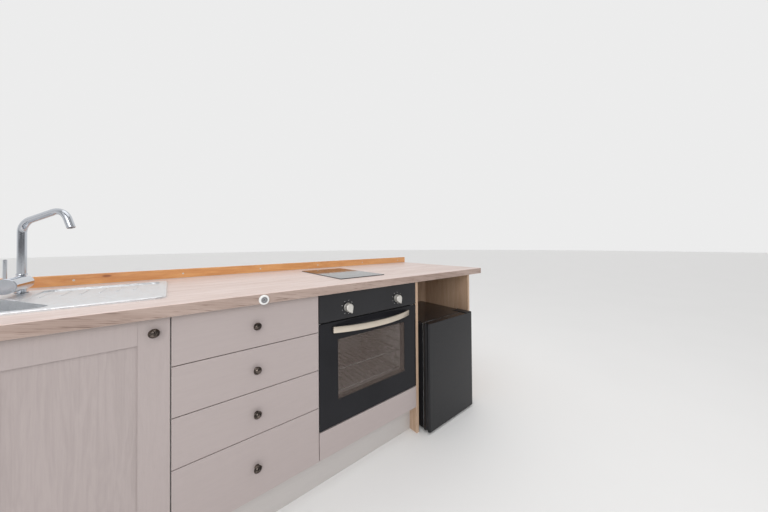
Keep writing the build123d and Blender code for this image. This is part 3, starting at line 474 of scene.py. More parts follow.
def metal_fill(ground, rough, lines=0.15):
    """Fill for a brushed or polished metal: hair lines in the roughness and the bump."""
    def fill(place):
        brushed = place.effect("brushed", Scale=1.0)["Lines"]
        smears = place.effect("handling")["Smears"]
        return {"Base Color": brushed.spread(0.3, 0.7).mix(shade(ground, 0.9), shade(ground)),
                "Roughness": brushed.spread(0.25, 0.75, rough, rough + lines) + smears * 0.12,
                "Normal": brushed.bump(0.3, 0.00005)}
    return fill


def plastic_fill(ground, rough=0.45, grit=600.0, depth=0.00006, cloudy=0.08):
    """Fill for a moulded or painted face: a fine grit in the bump, and a faint cloud in the
    colour."""
    def fill(place):
        fine = place.noise(grit)
        cloud = place.noise(9.0, 3.0).spread(0.3, 0.7)
        smears = place.effect("handling")["Smears"]
        return {"Base Color": cloud.mix(shade(ground, 1.0 - cloudy), shade(ground)),
                "Roughness": fine.spread(0.3, 0.7, rough - 0.03, rough + 0.05) + smears * 0.10,
                "Normal": fine.bump(0.25, depth)}
    return fill


def glass_fill(ground, marks=None, alpha=None):
    """Fill for glass: a printed ground under gloss, smears in the roughness, and printed
    marks, which marks(place) gives as pairs of a mask and a colour."""
    def fill(place):
        handled = place.effect("handling")
        shown = place.noise(3.0, 3.0).spread(0.3, 0.7).mix(shade(ground), shade(ground, 1.6))
        shown = (handled["Dust"] * 0.04).mix(shown, PALE_DUST)
        for mask, tone in (marks(place) if marks else ()):
            shown = mask.mix(shown, shade(tone))
        result = {"Base Color": shown,
                  "Roughness": handled["Smears"].spread(0.0, 1.0, 0.035, 0.13)}
        if alpha:
            result["Alpha"] = alpha(place)
        return result
    return fill


def smeared_alpha(low, high):
    """An alpha for clear glass that its smears raise from low to high."""
    return lambda place: place.effect("handling")["Smears"].spread(0.0, 1.0, low, high)


# Shapes


def box_of(name):
    """Lowest and highest corner of a CAD node."""
    low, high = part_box(name)
    return np.array(tuple(low)), np.array(tuple(high))


def grid_faces(rows, columns, wrap_rows, wrap_columns):
    """Quads that join each point of a rows by columns grid to its neighbours. A wrapped side
    joins its last row or column to its first."""
    row = np.arange(rows if wrap_rows else rows - 1)
    column = np.arange(columns if wrap_columns else columns - 1)
    row, column = np.meshgrid(row, column, indexing="ij")
    next_row, next_column = (row + 1) % rows, (column + 1) % columns
    return np.stack([row * columns + column, row * columns + next_column,
                     next_row * columns + next_column, next_row * columns + column],
                    axis=-1).reshape(-1, 4)


def piece(name, grids, body, made, replaces=(), sharp=40):
    """Joins grids of (points, wrap_rows, wrap_columns) into one object that rides on a body."""
    points, faces, start = [], [], 0
    for grid, wrap_rows, wrap_columns in grids:
        rows, columns = grid.shape[:2]
        points.append(grid.reshape(-1, 3))
        faces.append(grid_faces(rows, columns, wrap_rows, wrap_columns) + start)
        start += rows * columns
    mesh = bpy.data.meshes.new(name)
    mesh.from_pydata(np.concatenate(points).tolist(), [], np.concatenate(faces).tolist())
    work = bmesh.new()
    work.from_mesh(mesh)
    bmesh.ops.remove_doubles(work, verts=work.verts, dist=1e-6)
    bmesh.ops.recalc_face_normals(work, faces=work.faces)
    work.to_mesh(mesh)
    work.free()
    mesh.polygons.foreach_set("use_smooth", np.ones(len(mesh.polygons), bool))
    mesh.set_sharp_from_angle(angle=radians(sharp))
    mesh.materials.append(made)
    shown = bpy.data.objects.new(name, mesh)
    bpy.context.scene.collection.objects.link(shown)
    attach(shown, body)
    if replaces:
        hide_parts(*replaces)


def circle(count):
    """Points (cos t, sin t) for t once round."""
    t = np.linspace(0.0, 2.0 * pi, count, endpoint=False)
    return np.column_stack([np.cos(t), np.sin(t)])


def turned(profile, centre, axis, count=48):
    """A profile of (radius, height) turned round an axis: the centre, plus the height along
    the axis, plus the radius times (cos t, sin t) across it, for t once round."""
    axis = np.asarray(axis, float) / np.linalg.norm(axis)
    first = np.cross(axis, ALONG if abs(axis[0]) < 0.9 else UP)
    first /= np.linalg.norm(first)
    across = circle(count)
    ring = across[:, :1] * first + across[:, 1:] * np.cross(axis, first)
    radius, height = np.asarray(profile, float).T[..., None, None]
    return np.asarray(centre, float) + height * axis + radius * ring, False, True


def arc_points(centre, radius, start, stop, steps):
    """Points (x, y) on a circle from one angle to another, both in degrees."""
    t = np.radians(np.linspace(start, stop, steps + 1))
    return np.column_stack([centre[0] + radius * np.cos(t), centre[1] + radius * np.sin(t)])


def round_rectangle(width, height, radius, steps=5):
    """Outline of a rectangle with quarter-circle corners: the four corner centres, each plus
    the radius times (cos t, sin t) over its own quarter."""
    corners = ((1, 1, 0), (-1, 1, 90), (-1, -1, 180), (1, -1, 270))
    return np.concatenate([arc_points((sx * (width / 2 - radius), sy * (height / 2 - radius)),
                                      radius, start, start + 90, steps)
                           for sx, sy, start in corners])


def outward(outline):
    """Unit normals of a closed outline that runs counter-clockwise."""
    along = np.roll(outline, -1, axis=0) - np.roll(outline, 1, axis=0)
    normal = np.column_stack([along[:, 1], -along[:, 0]])
    return normal / np.linalg.norm(normal, axis=1)[:, None]


def edging(outline, section, centre, first, second, depth):
    """A section carried round a closed outline: each outline point, moved out by the
    section's first number along the outline's normal, and by its second along depth."""
    first, second, depth = (np.asarray(v, float) for v in (first, second, depth))
    spread = outline[:, None, :] + outward(outline)[:, None, :] * section[None, :, :1]
    grid = (np.asarray(centre, float) + spread[..., :1] * first + spread[..., 1:] * second
            + section[None, :, 1:] * depth)
    return grid, True, True


def carried(path, section, across, ends=0.001):
    """A section carried along an open path. Its first number is measured along the cross
    product of the path's direction and across, its second along across. Each end closes over
    a small bevel: the section shrinks by the bevel, then to its middle."""
    path = np.asarray(path, float)
    along = np.gradient(path, axis=0)
    along /= np.linalg.norm(along, axis=1)[:, None]
    side = np.cross(along, np.asarray(across, float))
    side /= np.linalg.norm(side, axis=1)[:, None]
    last = len(path) - 1
    rows = np.array([0, 0, *range(last + 1), last, last])
    path, side, over = path[rows], side[rows], np.cross(side, along)[rows]
    path[2] += along[0] * ends
    path[-3] -= along[-1] * ends
    size = np.ones((len(path), 1, 2))
    size[[0, -1]] = 0.0
    size[[1, -2]] = 1.0 - ends / np.abs(section).max(axis=0)
    shown = section[None] * size
    grid = path[:, None] + shown[..., :1] * side[:, None] + shown[..., 1:] * over[:, None]
    return grid, False, True


def bar(low, high, bevel):
    """A box with bevelled edges, as a rounded outline raised through levels: inset at both
    ends by the bevel, and closed to its middle."""
    low, high = np.asarray(low, float), np.asarray(high, float)
    (x, y, _), size = (low + high) / 2, high - low
    path = np.linspace((x, y, low[2]), (x, y, high[2]), 4)
    return carried(path, round_rectangle(size[0], size[1], bevel, 2), INTO_WALL, bevel)


class KITCHEN_OT_worktop(bpy.types.Operator):
    """Oak-foil worktop with a raw core at its back, and the pine upstand with its screws."""
    bl_idname = "kitchen.worktop"
    bl_label = "Worktop and upstand"
    screws, screw_inset = 7, 0.09
    screw_head = [(0.0, 0.0002), (0.0012, 0.0002), (0.0016, 0.0007), (0.0034, 0.0009),
                  (0.0042, 0.0005), (0.0045, 0.0), (0.0045, -0.002), (0.0, -0.002)]
    bead = np.array(((0.0005, -0.0005), (-0.0022, -0.0005), (-0.0016, 0.0006),
                     (-0.0006, 0.0016), (0.0005, 0.0022)))

    def execute(self, context):
        boards = context.scene.kitchen_boards
        material("worktop oak foil", self.foil(boards), "worktop", specular_ior_level=0.5)
        material("varnished pine", self.pine(boards), "upstand", coat_weight=0.35,
                 coat_roughness=0.12)
        low, high = box_of("upstand")
        level = (low[2] + high[2]) / 2
        places = np.linspace(low[0] + self.screw_inset, high[0] - self.screw_inset,
                             self.screws)
        piece("upstand_screws", [turned(self.screw_head, (x, low[1], level), OUT_OF_WALL, 24)
                                 for x in places], "kitchen",
              material("screw steel", metal_fill((0.62, 0.60, 0.56), 0.28)))
        path = np.linspace(low + (0.001, 0.0, 0.0), (high[0] - 0.001, low[1], low[2]), 24)
        piece("upstand_bead", [carried(path, self.bead, UP)], "kitchen",
              material("upstand sealant", plastic_fill((0.55, 0.50, 0.44), 0.35, 300.0)))
        return {"FINISHED"}

    def foil(self, boards):
        """Oak foil, with sloping grain on the edge tape at the front, darker there as painted
        shade as well as the tape's own tone, and chipboard where the board's back and underside
        are raw."""
        low, high = box_of("worktop")
        wood = wood_fill((boards.worktop_pale, boards.worktop_dark, boards.worktop_line),
                         ORIGIN, 2.6, 2.2, 0.95, 0.5, box=(low, high), gloss=(0.28, 0.42))

        def fill(place):
            results = wood(place)
            foiled = place.inside(low + (-0.1, -0.1, 0.0004), high + (0.1, -0.0008, 0.1),
                                  0.0002)
            core = place.voronoi(420.0).spread(0.0, 0.6).mix(
                shade(boards.carcass_core, 0.55), shade(boards.carcass_core))
            # Sloping grain of the edge tape, in the darker edge colours: the tape's own tone,
            # plus painted shade.
            edge_grain_and_shade = place.mapped(turn=(0.0, radians(-11), 0.0)).effect(
                "wood grain", Pale=shade(boards.edge_tape_and_shade_pale), Dark=shade(boards.edge_tape_and_shade_dark),
                Line=shade(boards.edge_tape_and_shade_dark, 0.7), Figure=1.5, Fibre=1.9, Contrast=0.95,
                Bands=0.10, Pores=1.0)
            # Front edge face, where the darker tape colours paint shade as well as the tape's
            # tone.
            tape = place.parts()[1] < low[1] + 0.0006
            shown = tape.mix(results["Base Color"], edge_grain_and_shade["Color"])
            return {**results, "Base Color": foiled.mix(core, shown)}
        return fill

    def pine(self, boards):
        """Pine: wide figure along the board, and dark knots with a halo."""
        wood = wood_fill((boards.pine_pale, boards.pine_dark, boards.pine_dark), ORIGIN, 9.0,
                         1.6, 0.9, 0.25, gloss=(0.22, 0.36), depth=0.0004)

        def fill(place):
            results = wood(place)
            knots = place.mapped((3.4, 5.0, 9.0)).voronoi(1.0)
            heart = knots.spread(0.035, 0.075, 1.0, 0.0, smooth=True)
            halo = knots.spread(0.06, 0.22, 0.5, 0.0, smooth=True)
            shown = halo.mix(results["Base Color"], shade(boards.pine_dark))
            return {**results, "Base Color": heart.mix(shown, shade(boards.pine_knot))}
        return fill


class KITCHEN_OT_fronts(bpy.types.Operator):
    """Foil-wrapped doors, drawer fronts and oven filler, each with its own run of grain."""
    bl_idname = "kitchen.fronts"
    bl_label = "Doors and drawer fronts"
    frame_width = 0.075
    bumper = [(0.0, 0.0014), (0.0020, 0.0013), (0.0034, 0.0008), (0.0040, 0.0), (0.0, 0.0)]

    def execute(self, context):
        boards = context.scene.kitchen_boards
        finish = (boards.front_pale, boards.front_dark, boards.front_dark)
        for index, name in enumerate(FRONTS):
            upright = name.startswith("door")
            foil = wood_fill(
                finish, QUARTER if upright else ORIGIN, 7.0, 3.6,
                self.strength(name) if upright else 0.25, 0.25,
                shift=(0.7 * index, 0.31 * index, 0.17 * index), box=box_of(name),
                gloss=(0.36, 0.50), worn=0.35, bands=0.03)
            material(f"front foil {name}", foil, name, specular_ior_level=0.45)
        clear = material("clear bumper", plastic_fill((0.70, 0.71, 0.71), 0.18, 400.0))
        for name in ("door_left", "door_right"):
            low, high = box_of(name)
            piece(f"{name}_bumpers", [
                turned(self.bumper, (high[0] - 0.012, high[1], z), INTO_WALL, 32)
                for z in (low[2] + 0.03, high[2] - 0.03)], name, clear)
        return {"FINISHED"}

    def strength(self, name):
        """Strength of a door's grain: full in the sunk panel, faint on the frame round it."""
        low, high = box_of(name)
        inset = np.array((self.frame_width, -0.1, self.frame_width))
        return lambda place: place.inside(low + inset, high - inset, 0.0005).spread(
            0.0, 1.0, 0.3, 0.85)


class KITCHEN_OT_carcasses(bpy.types.Operator):
    """Melamine carcasses and drawer boxes, plinth, legs, hinges and runners."""
    bl_idname = "kitchen.carcasses"
    bl_label = "Carcasses"

    def execute(self, context):
        boards = context.scene.kitchen_boards
        material("carcass melamine", plastic_fill(boards.carcass, 0.42, 900.0, 0.00004, 0.05),
                 "sink_unit_sides", "drawer_unit_sides", "oven_unit_sides", "carcass_floors",
                 "carcass_backs", "carcass_rails", "door_post",
                 *(f"drawer_{row}_box" for row in range(1, 5)))
        tones = [shade(boards.plinth, factor) for factor in (1.0, 0.88, 0.8)]
        material("plinth foil", wood_fill(tones, ORIGIN, 4.0, 2.4, 0.4, 0.2,
                                          box=box_of("plinth"), gloss=(0.38, 0.5),
                                          bands=0.05), "plinth")
        material("black leg plastic", plastic_fill((0.022, 0.022, 0.023), 0.48), "legs",
                 "fridge_feet", "fridge_hinges")
        material("nickel plate", metal_fill((0.60, 0.59, 0.56), 0.22), "door_hinges",
                 "oven_door_hinges", metallic=1.0)
        material("runner paint", plastic_fill((0.72, 0.72, 0.71), 0.34, 700.0),
                 "drawer_runners")
        return {"FINISHED"}


class KITCHEN_OT_panels(bpy.types.Operator):
    """Oak-foil end panels and the niche behind the fridge."""
    bl_idname = "kitchen.panels"
    bl_label = "Oak panels"

    def execute(self, context):
        boards = context.scene.kitchen_boards
        finish = (boards.oak_pale, boards.oak_dark, boards.oak_line)
        for index, name in enumerate(("left_end_panel", "oven_side_panel", "right_end_panel",
                                      "niche_back")):
            material(f"oak foil {name}", wood_fill(
                finish, QUARTER, 2.4, 2.2, 1.0, 0.55,
                shift=(0.9 * index, 0.4 * index, 0.3 * index), box=box_of(name),
                gloss=(0.36, 0.5)), name)
        return {"FINISHED"}


class KITCHEN_OT_knobs(bpy.types.Operator):
    """Turned bronze knobs in place of the CAD knobs: a foot, a waist, a rim and a dome."""
    bl_idname = "kitchen.knobs"
    bl_label = "Knobs"

    def execute(self, context):
        shape, metals = context.scene.kitchen_knobs, context.scene.kitchen_metals

        def fill(place):
            patches = place.noise(90.0, 4.0, 0.6)
            scratches = place.mapped(turn=(0.0, 0.0, radians(30))).effect(
                "brushed", Scale=0.8)["Lines"]
            worn = patches.spread(0.42, 0.62)
            return {"Base Color": worn.mix(shade(metals.bronze), shade(metals.bronze_worn)),
                    "Roughness": worn.spread(0.0, 1.0, 0.30, 0.17) + scratches * 0.06,
                    "Normal": patches.bump(0.15, 0.0001)}

        bronze = material("antique bronze", fill, metallic=1.0)
        profile = self.profile(shape)
        for body in KNOB_BODIES:
            name = f"{body}_knob"
            low, high = box_of(name)
            centre = ((low[0] + high[0]) / 2, high[1], (low[2] + high[2]) / 2)
            piece(f"turned_{name}", [turned(profile, centre, OUT_OF_WALL, shape.facets)],
                  body, bronze, replaces=(name,), sharp=50)
        return {"FINISHED"}

    def profile(self, shape):
        """Radius against height: the foot's round edge, a cosine sweep from the foot in to
        the waist and out to the rim, and a dome that is part of a circle."""
        foot = arc_points((shape.foot_radius - 0.0012, 0.0012), 0.0012, 0, 90, 4)
        low, high = 0.0024, shape.rim_level - 0.0022
        h = np.linspace(low, high, 22)
        t = (h - low) / (high - low)
        narrow = np.where(t < 0.35, 0.5 + 0.5 * np.cos(pi * t / 0.35),
                          0.5 - 0.5 * np.cos(pi * (t - 0.35) / 0.65))
        wide = np.where(t < 0.35, shape.foot_radius - 0.0012, shape.rim_radius - 0.0012)
        waist = np.column_stack([shape.neck_radius + narrow * (wide - shape.neck_radius), h])
        rim = arc_points((shape.rim_radius - 0.0014, shape.rim_level - 0.0008), 0.0014, -60,
                         70, 6)
        rise = shape.reach - shape.rim_level
        base = shape.rim_radius - 0.001
        radius = (base ** 2 + rise ** 2) / (2.0 * rise)
        h = np.linspace(shape.rim_level + 0.0009, shape.reach, 16)
        drop = radius - (shape.reach - h)
        dome = np.column_stack([np.sqrt(np.maximum(radius ** 2 - drop ** 2, 0.0)), h])
        return np.concatenate([[(0.0, 0.0)], foot, waist, rim, dome])


class KITCHEN_OT_sink(bpy.types.Operator):
    """Linen-pattern steel of the sink, the waste's strainer and a bead of sealant."""
    bl_idname = "kitchen.sink"
    bl_label = "Sink"
    weave = 2600.0
    holes = ((0.011, 6.0), (0.021, 12.0), (0.031, 18.0))
    bead = np.array(((-0.0006, 0.0), (0.0014, 0.0), (0.0012, 0.0007), (0.0004, 0.0011),
                     (-0.0006, 0.0012)))

    def execute(self, context):
        metals = context.scene.kitchen_metals
        material("linen steel", self.linen(metals), "sink_deck", "sink_bowl", metallic=1.0)
        material("waste fitting", self.waste(metals), "sink_waste")
        low, high = box_of("sink_deck")
        outline = round_rectangle(high[0] - low[0], high[1] - low[1], 0.028, 8)
        centre = (*((low + high) / 2)[:2], box_of("worktop")[1][2])
        piece("sink_sealant", [edging(outline, self.bead, centre, ALONG, INTO_WALL, UP)],
              "kitchen",
              material("clear sealant", plastic_fill((0.62, 0.62, 0.61), 0.30, 300.0)))
        return {"FINISHED"}

    def linen(self, metals):
        """Steel embossed with a diagonal weave, the product of two sines, under a grit."""
        def fill(place):
            x, y, _ = place.mapped(turn=(0.0, 0.0, radians(45))).parts()
            weave = (x * self.weave).math("SINE") * (y * self.weave).math("SINE")
            grit = place.noise(700.0, 3.0, 0.7)
            fleck = place.noise(190.0, 3.0, 0.75)
            speckle = (grit * 0.4 + fleck * 0.6).spread(0.40, 0.60)
            smears = place.effect("handling")["Smears"]
            return {"Base Color": speckle.mix(shade(metals.steel, 0.74), shade(metals.steel)),
                    "Roughness": speckle.spread(0.0, 1.0, 0.44, 0.22) + smears * 0.10,
                    "Normal": (weave * 0.5 + grit).bump(0.32, 0.00025)}
        return fill

    def waste(self, metals):
        """Steel strainer with three rings of holes, over a plastic trap. The holes are not cut:
        near-black dots paint the shade seen through them.
        """
        low, high = box_of("sink_waste")
        half = (high[0] - low[0]) / 2
        centre = ((low[0] + high[0]) / 2, 0.0, low[1] + half)
        trap_top = box_of("sink_bowl")[0][2] - 0.022

        def fill(place):
            steel = place.parts()[2] > trap_top
            grit = place.noise(500.0)
            shown = steel.mix((0.80, 0.80, 0.79, 1.0), shade(metals.steel))
            flat = place.mapped(turn=(radians(90), 0.0, 0.0))
            for radius, count in self.holes:
                # Near-black dots: painted shade where the uncut holes would be.
                holes = flat.dots(centre, radius, 0.0026, count) * steel
                shown = holes.mix(shown, (0.01, 0.01, 0.01, 1.0))
            return {"Base Color": shown, "Metallic": steel,
                    "Roughness": grit.spread(0.3, 0.7, 0.30, 0.42),
                    "Normal": grit.bump(0.2, 0.00005)}
        return fill


class KITCHEN_OT_tap(bpy.types.Operator):
    """Polished plating of the tap, the rings and the sieve of its spout, and a seal."""
    bl_idname = "kitchen.tap"
    bl_label = "Tap"
    lean = radians(21.8)
    radius = 0.012
    collar = [(-0.001, 0.0002), (0.0016, 0.0002), (0.0022, 0.0008), (0.0022, 0.0052),
              (0.0016, 0.0060), (0.0006, 0.0062), (0.0006, 0.0074), (-0.001, 0.0078)]
    nozzle = [(-0.0030, 0.0012), (-0.0024, 0.0030), (-0.0010, 0.0032), (-0.0004, 0.0026),
              (-0.0004, 0.0), (-0.0030, 0.0)]
    seal = [(0.0150, 0.0), (0.0174, 0.0), (0.0176, 0.0006), (0.0168, 0.0012),
            (0.0150, 0.0014)]

    def execute(self, context):
        metals = context.scene.kitchen_metals

        def fill(place):
            smears = place.effect("handling")["Smears"]
            spots = place.noise(160.0, 3.0).spread(0.62, 0.74)
            return {"Base Color": (spots * 0.25).mix(shade(metals.chrome),
                                                     (0.52, 0.52, 0.51, 1.0)),
                    "Roughness": smears.spread(0.0, 1.0, 0.10, 0.17) + spots * 0.05,
                    "Normal": smears.bump(0.03, 0.0001)}

        chrome = material("polished chrome", fill, "tap_body", "tap_spout", "tap_lever",
                          metallic=1.0)
        foot = next(joint["pos_m"] for joint in frame["joints"]
                    if joint["child"] == "tap_spout")
        tip, way = self.tip(np.array(foot))
        out = (self.radius, 0.0)
        ring = turned(np.array(self.collar) + out, foot, UP, 72)[0]
        mouth = turned(np.array(self.nozzle) + out, tip, way, 72)[0]
        piece("spout_rings", [(ring, False, True), (mouth, True, True)], "tap_spout",
              chrome)
        net = self.radius - 0.0031
        sieve = [(0.0, 0.0014), (net, 0.0014), (net, 0.0), (0.0, 0.0)]
        piece("spout_sieve", [turned(sieve, tip, way, 48)], "tap_spout",
              material("spout sieve plastic", self.sieve(tip)))
        level = box_of("tap_body")[0][2]
        piece("tap_foot_seal", [turned(self.seal, (*foot[:2], level), UP, 72)], "kitchen",
              material("tap seal rubber", plastic_fill((0.03, 0.03, 0.032),
                                                                     0.6)))
        return {"FINISHED"}

    def tip(self, foot):
        """Middle of the spout's open end and the way it points. The vertices that lie far
        from the foot give the heading, and those furthest along the way make the end."""
        mesh = NODES["tap_spout"].data
        points = np.empty(len(mesh.vertices) * 3)
        mesh.vertices.foreach_get("co", points)
        points = points.reshape(-1, 3)
        flat = (points - foot) * (1.0, 1.0, 0.0)
        away = np.linalg.norm(flat, axis=1)
        heading = flat[away > away.max() - 0.03].mean(axis=0)
        heading /= np.linalg.norm(heading)
        way = heading * sin(self.lean) - UP * cos(self.lean)
        far = points[away > away.max() - 0.05]
        along = far @ way
        return far[along > along.max() - 0.0004].mean(axis=0), way

    def sieve(self, tip):
        """Grey plastic with a net of small square holes, which are not cut: near-black squares
        paint the shade in them.
        """
        def fill(place):
            x, y, _ = place.vector("SUBTRACT", tuple(tip)).parts()
            # Near-black squares: painted shade where the uncut holes of the net would be.
            holes = ((x.math("PINGPONG", 0.0009) > 0.00025)
                     * (y.math("PINGPONG", 0.0009) > 0.00025))
            return {"Base Color": holes.mix((0.45, 0.45, 0.46, 1.0), (0.02, 0.02, 0.02, 1.0)),
                    "Roughness": holes.spread(0.0, 1.0, 0.35, 0.8)}
        return fill


class KITCHEN_OT_hob(bpy.types.Operator):
    """Black hob glass with its printed cooking zones, touch marks and steel box."""
    bl_idname = "kitchen.hob"
    bl_label = "Hob"
    grey, steel = (0.30, 0.30, 0.31), (0.40, 0.40, 0.41)
    back_share, front_share, ring_gap, glass_depth = 0.27, 0.40, 0.004, 0.0042
    mark_pitch, mark_inset, mark_radius, mark_width = 0.042, 0.038, 0.0075, 0.0006

    def execute(self, context):
        printed, metals = context.scene.kitchen_hob, context.scene.kitchen_metals
        low, high = box_of("hob")
        middle, length, top = (low[0] + high[0]) / 2, high[1] - low[1], high[2]
        zones = ((high[1] - self.back_share * length, printed.back_zone),
                 (low[1] + self.front_share * length, printed.front_zone))

        def marks(place):
            found = [place.ring((middle, y, top), radius - inner, printed.line / 2)
                     for y, radius in zones for inner in (0.0, self.ring_gap)]
            found += [place.ring((middle + step * self.mark_pitch, low[1] + self.mark_inset,
                                  top), self.mark_radius, self.mark_width)
                      for step in range(-2, 3)]
            under = place.parts()[2] < top - self.glass_depth
            return [*((mask, self.grey) for mask in found), (under, self.steel)]

        material("hob glass", glass_fill(metals.black, marks), "hob", specular_ior_level=0.6)
        return {"FINISHED"}


class KITCHEN_OT_oven(bpy.types.Operator):
    """Oven: printed glass, enamel cavity with fan cover and element, seal and racks."""
    bl_idname = "kitchen.oven"
    bl_label = "Oven"
    head_radius, tail_radius, tail_reach, tail_lean = 0.020, 0.006, 0.026, radians(25.0)
    window_half, window_rise = np.array((0.207, 0.136)), 0.014
    pane_edge = np.array(((-0.0004, 0.0), (0.0, -0.0004), (0.0, -0.0036), (-0.0004, -0.004)))
    knob_levels = [(0.0, 0.0), (0.0006, 0.0), (0.0006, 0.0034), (0.0016, 0.0042),
                   (0.0016, 0.0195), (0.0020, 0.0216), (0.0031, 0.0231), (0.0046, 0.0240)]
    fan_cover = [(0.0, 0.0065), (0.018, 0.0065), (0.022, 0.0085), (0.070, 0.0085),
                 (0.074, 0.0065), (0.088, 0.0062), (0.095, 0.0045), (0.0955, 0.0)]
    lamp_lens = [(0.0, 0.012), (0.010, 0.0112), (0.016, 0.0088), (0.020, 0.0045),
                 (0.022, 0.0045), (0.0225, 0.0)]

    def execute(self, context):
        oven, metals = context.scene.kitchen_oven, context.scene.kitchen_metals
        self.panel(oven, metals)
        self.door(oven, metals)
        self.handle(oven)
        self.knobs(metals)
        self.cavity(metals)
        return {"FINISHED"}

    def panel(self, oven, metals):
        """Control panel: rings of dots round the knobs, and grey sheet behind the glass."""
        face = box_of("oven_control_panel")[0][1]
        dials = []
        for name in OVEN_KNOBS:
            low, high = box_of(name)
            dials.append((low[0] + self.head_radius, face, high[2] - self.head_radius))

        def marks(place):
            y = place.parts()[1]
            front = y < face + 0.0006
            return [*((place.dots(centre, oven.dial_radius, oven.dial_dot, 9.0) * front,
                       metals.print_white) for centre in dials),
                    (y > face + 0.0212, (0.40, 0.41, 0.42))]

        material("control panel glass", glass_fill(metals.black, marks), "oven_control_panel",
                 specular_ior_level=0.36)

    def door(self, oven, metals):
        """Door glass with its window, black frame, inner pane, and the handle's finish."""
        low, high = box_of("oven_door")
        middle = ((low + high) / 2)[[0, 2]] + (0.0, self.window_rise)
        (left, lower), (right, upper) = middle - self.window_half, middle + self.window_half

        def window(place):
            return place.inside((left, -9.0, lower), (right, 9.0, upper), 0.0012)

        # Inside the window the glass takes the veil colour, which is painted reflection of a
        # brown floor.
        material("oven door glass", glass_fill(
            metals.black, lambda place: [(window(place), oven.painted_window_reflection)],
            lambda place: window(place).spread(0.0, 1.0, 1.0, oven.window_tint).lit_through()),
            "oven_door_glass", specular_ior_level=0.14)
        material("black door frame", plastic_fill((0.020, 0.020, 0.022), 0.36, 800.0),
                 "oven_door")
        smeared = smeared_alpha(0.04, 0.12)
        pane = material("inner pane", glass_fill(
            (0.02, 0.022, 0.022), None, lambda place: smeared(place).lit_through()),
            specular_ior_level=0.2)
        outline = round_rectangle(right - left - 0.0008, upper - lower - 0.0008, 0.004, 3)
        piece("oven_inner_pane", [self.plate(outline, self.pane_edge, (
            (left + right) / 2, high[1] - 0.0005, (lower + upper) / 2))], "oven_door",
            pane)
        material("brushed champagne", metal_fill(metals.champagne, 0.26, lines=0.16),
                 "oven_handle", metallic=1.0)

    def plate(self, outline, section, centre):
        """A thin plate: its outline's edge section, closed to the middle on both faces."""
        rows = np.concatenate([[(-1.0, section[0, 1])], section, [(-1.0, section[-1, 1])]])
        spread = outline[:, None, :] + outward(outline)[:, None, :] * rows[None, :, :1]
        spread[:, 0], spread[:, -1] = 0.0, 0.0
        grid = (np.asarray(centre, float) + spread[..., :1] * ALONG + spread[..., 1:] * UP
                + rows[None, :, 1:] * INTO_WALL)
        return grid, True, False

    def handle(self, oven):
        """A strip with round edges on an arc: its middle stands past its ends by the bow, and
        each point lies back by radius - sqrt(radius squared - x squared)."""
        low, high = box_of("oven_handle")
        thick, half = oven.handle_thickness, (high[0] - low[0]) / 2
        radius = (half ** 2 + oven.handle_bow ** 2) / (2.0 * oven.handle_bow)
        x = np.linspace(-half, half, 61)
        y = low[1] + thick / 2 + radius - np.sqrt(radius ** 2 - x ** 2)
        centre_x, centre_z = (low[0] + high[0]) / 2, (low[2] + high[2]) / 2
        path = np.column_stack([centre_x + x, y, np.full_like(x, centre_z)])
        section = round_rectangle(thick, high[2] - low[2], 0.0014, 3)
        grids = [carried(path, section, UP, 0.0012)]
        end_y = low[1] + oven.handle_bow + thick / 2
        for side in (-1, 1):
            near = centre_x + side * (half - oven.handle_foot)
            far = centre_x + side * (half - 0.001)
            grids.append(bar((min(near, far), end_y - 0.003, low[2] + 0.001),
                             (max(near, far), high[1], high[2] - 0.001), 0.0012))
        made = NODES["oven_handle"].material_slots[0].material
        piece("oven_handle_strip", grids, "oven_door", made,
              replaces=("oven_handle",))

    def knobs(self, metals):
        """Drop-shaped knobs. Seen from the front, the outline at angle t is the further of
        two circles' points in that direction: the head's, and the small tail's. It is carried
        outwards with a skirt, a waist and a round top edge."""
        made = material("satin silver", plastic_fill(metals.silver, 0.30, 900.0, 0.00003,
                                                     0.05), metallic=0.55)
        way = circle(72)
        tail = self.tail_reach * np.array((sin(self.tail_lean), -cos(self.tail_lean)))
        rings = [np.zeros_like(way)]
        for inset, _ in self.knob_levels:
            near, far = self.head_radius - inset, self.tail_radius - inset
            chosen = (near > far + way @ tail)[:, None]
            rings.append(np.where(chosen, near * way, tail + far * way))
        rings.append(np.tile(tail * 0.35, (len(way), 1)))
        levels = [0.0, *(level for _, level in self.knob_levels), self.knob_levels[-1][1]]
        for name in OVEN_KNOBS:
            low, high = box_of(name)
            x, z = low[0] + self.head_radius, high[2] - self.head_radius
            grid = np.stack([np.column_stack([x + ring[:, 0],
                                              np.full(len(ring), high[1] - level),
                                              z + ring[:, 1]])
                             for ring, level in zip(rings, levels)])
            piece(f"{name}_drop", [(grid, False, True)], name, made,
                  replaces=(name,), sharp=30)

    def cavity(self, metals):
        """Enamel, zinc and wire of the oven's inside, with its fan cover, lamp, element and
        seal."""
        def enamel(place):
            specks = place.noise(900.0).spread(0.60, 0.68)
            heat = place.noise(14.0, 4.0).spread(0.35, 0.70)
            ground = heat.mix(shade(metals.enamel), shade(metals.enamel, 0.78))
            return {"Base Color": (specks * 0.6).mix(ground, (0.60, 0.60, 0.61, 1.0)),
                    "Roughness": heat.spread(0.0, 1.0, 0.16, 0.30),
                    "Normal": heat.bump(0.1, 0.0004)}

        def zinc(place):
            tone = place.voronoi(60.0, 1).parts()[0]
            return {"Base Color": tone.mix((0.42, 0.43, 0.44, 1.0), (0.52, 0.53, 0.54, 1.0)),
                    "Roughness": tone.spread(0.0, 1.0, 0.32, 0.48)}

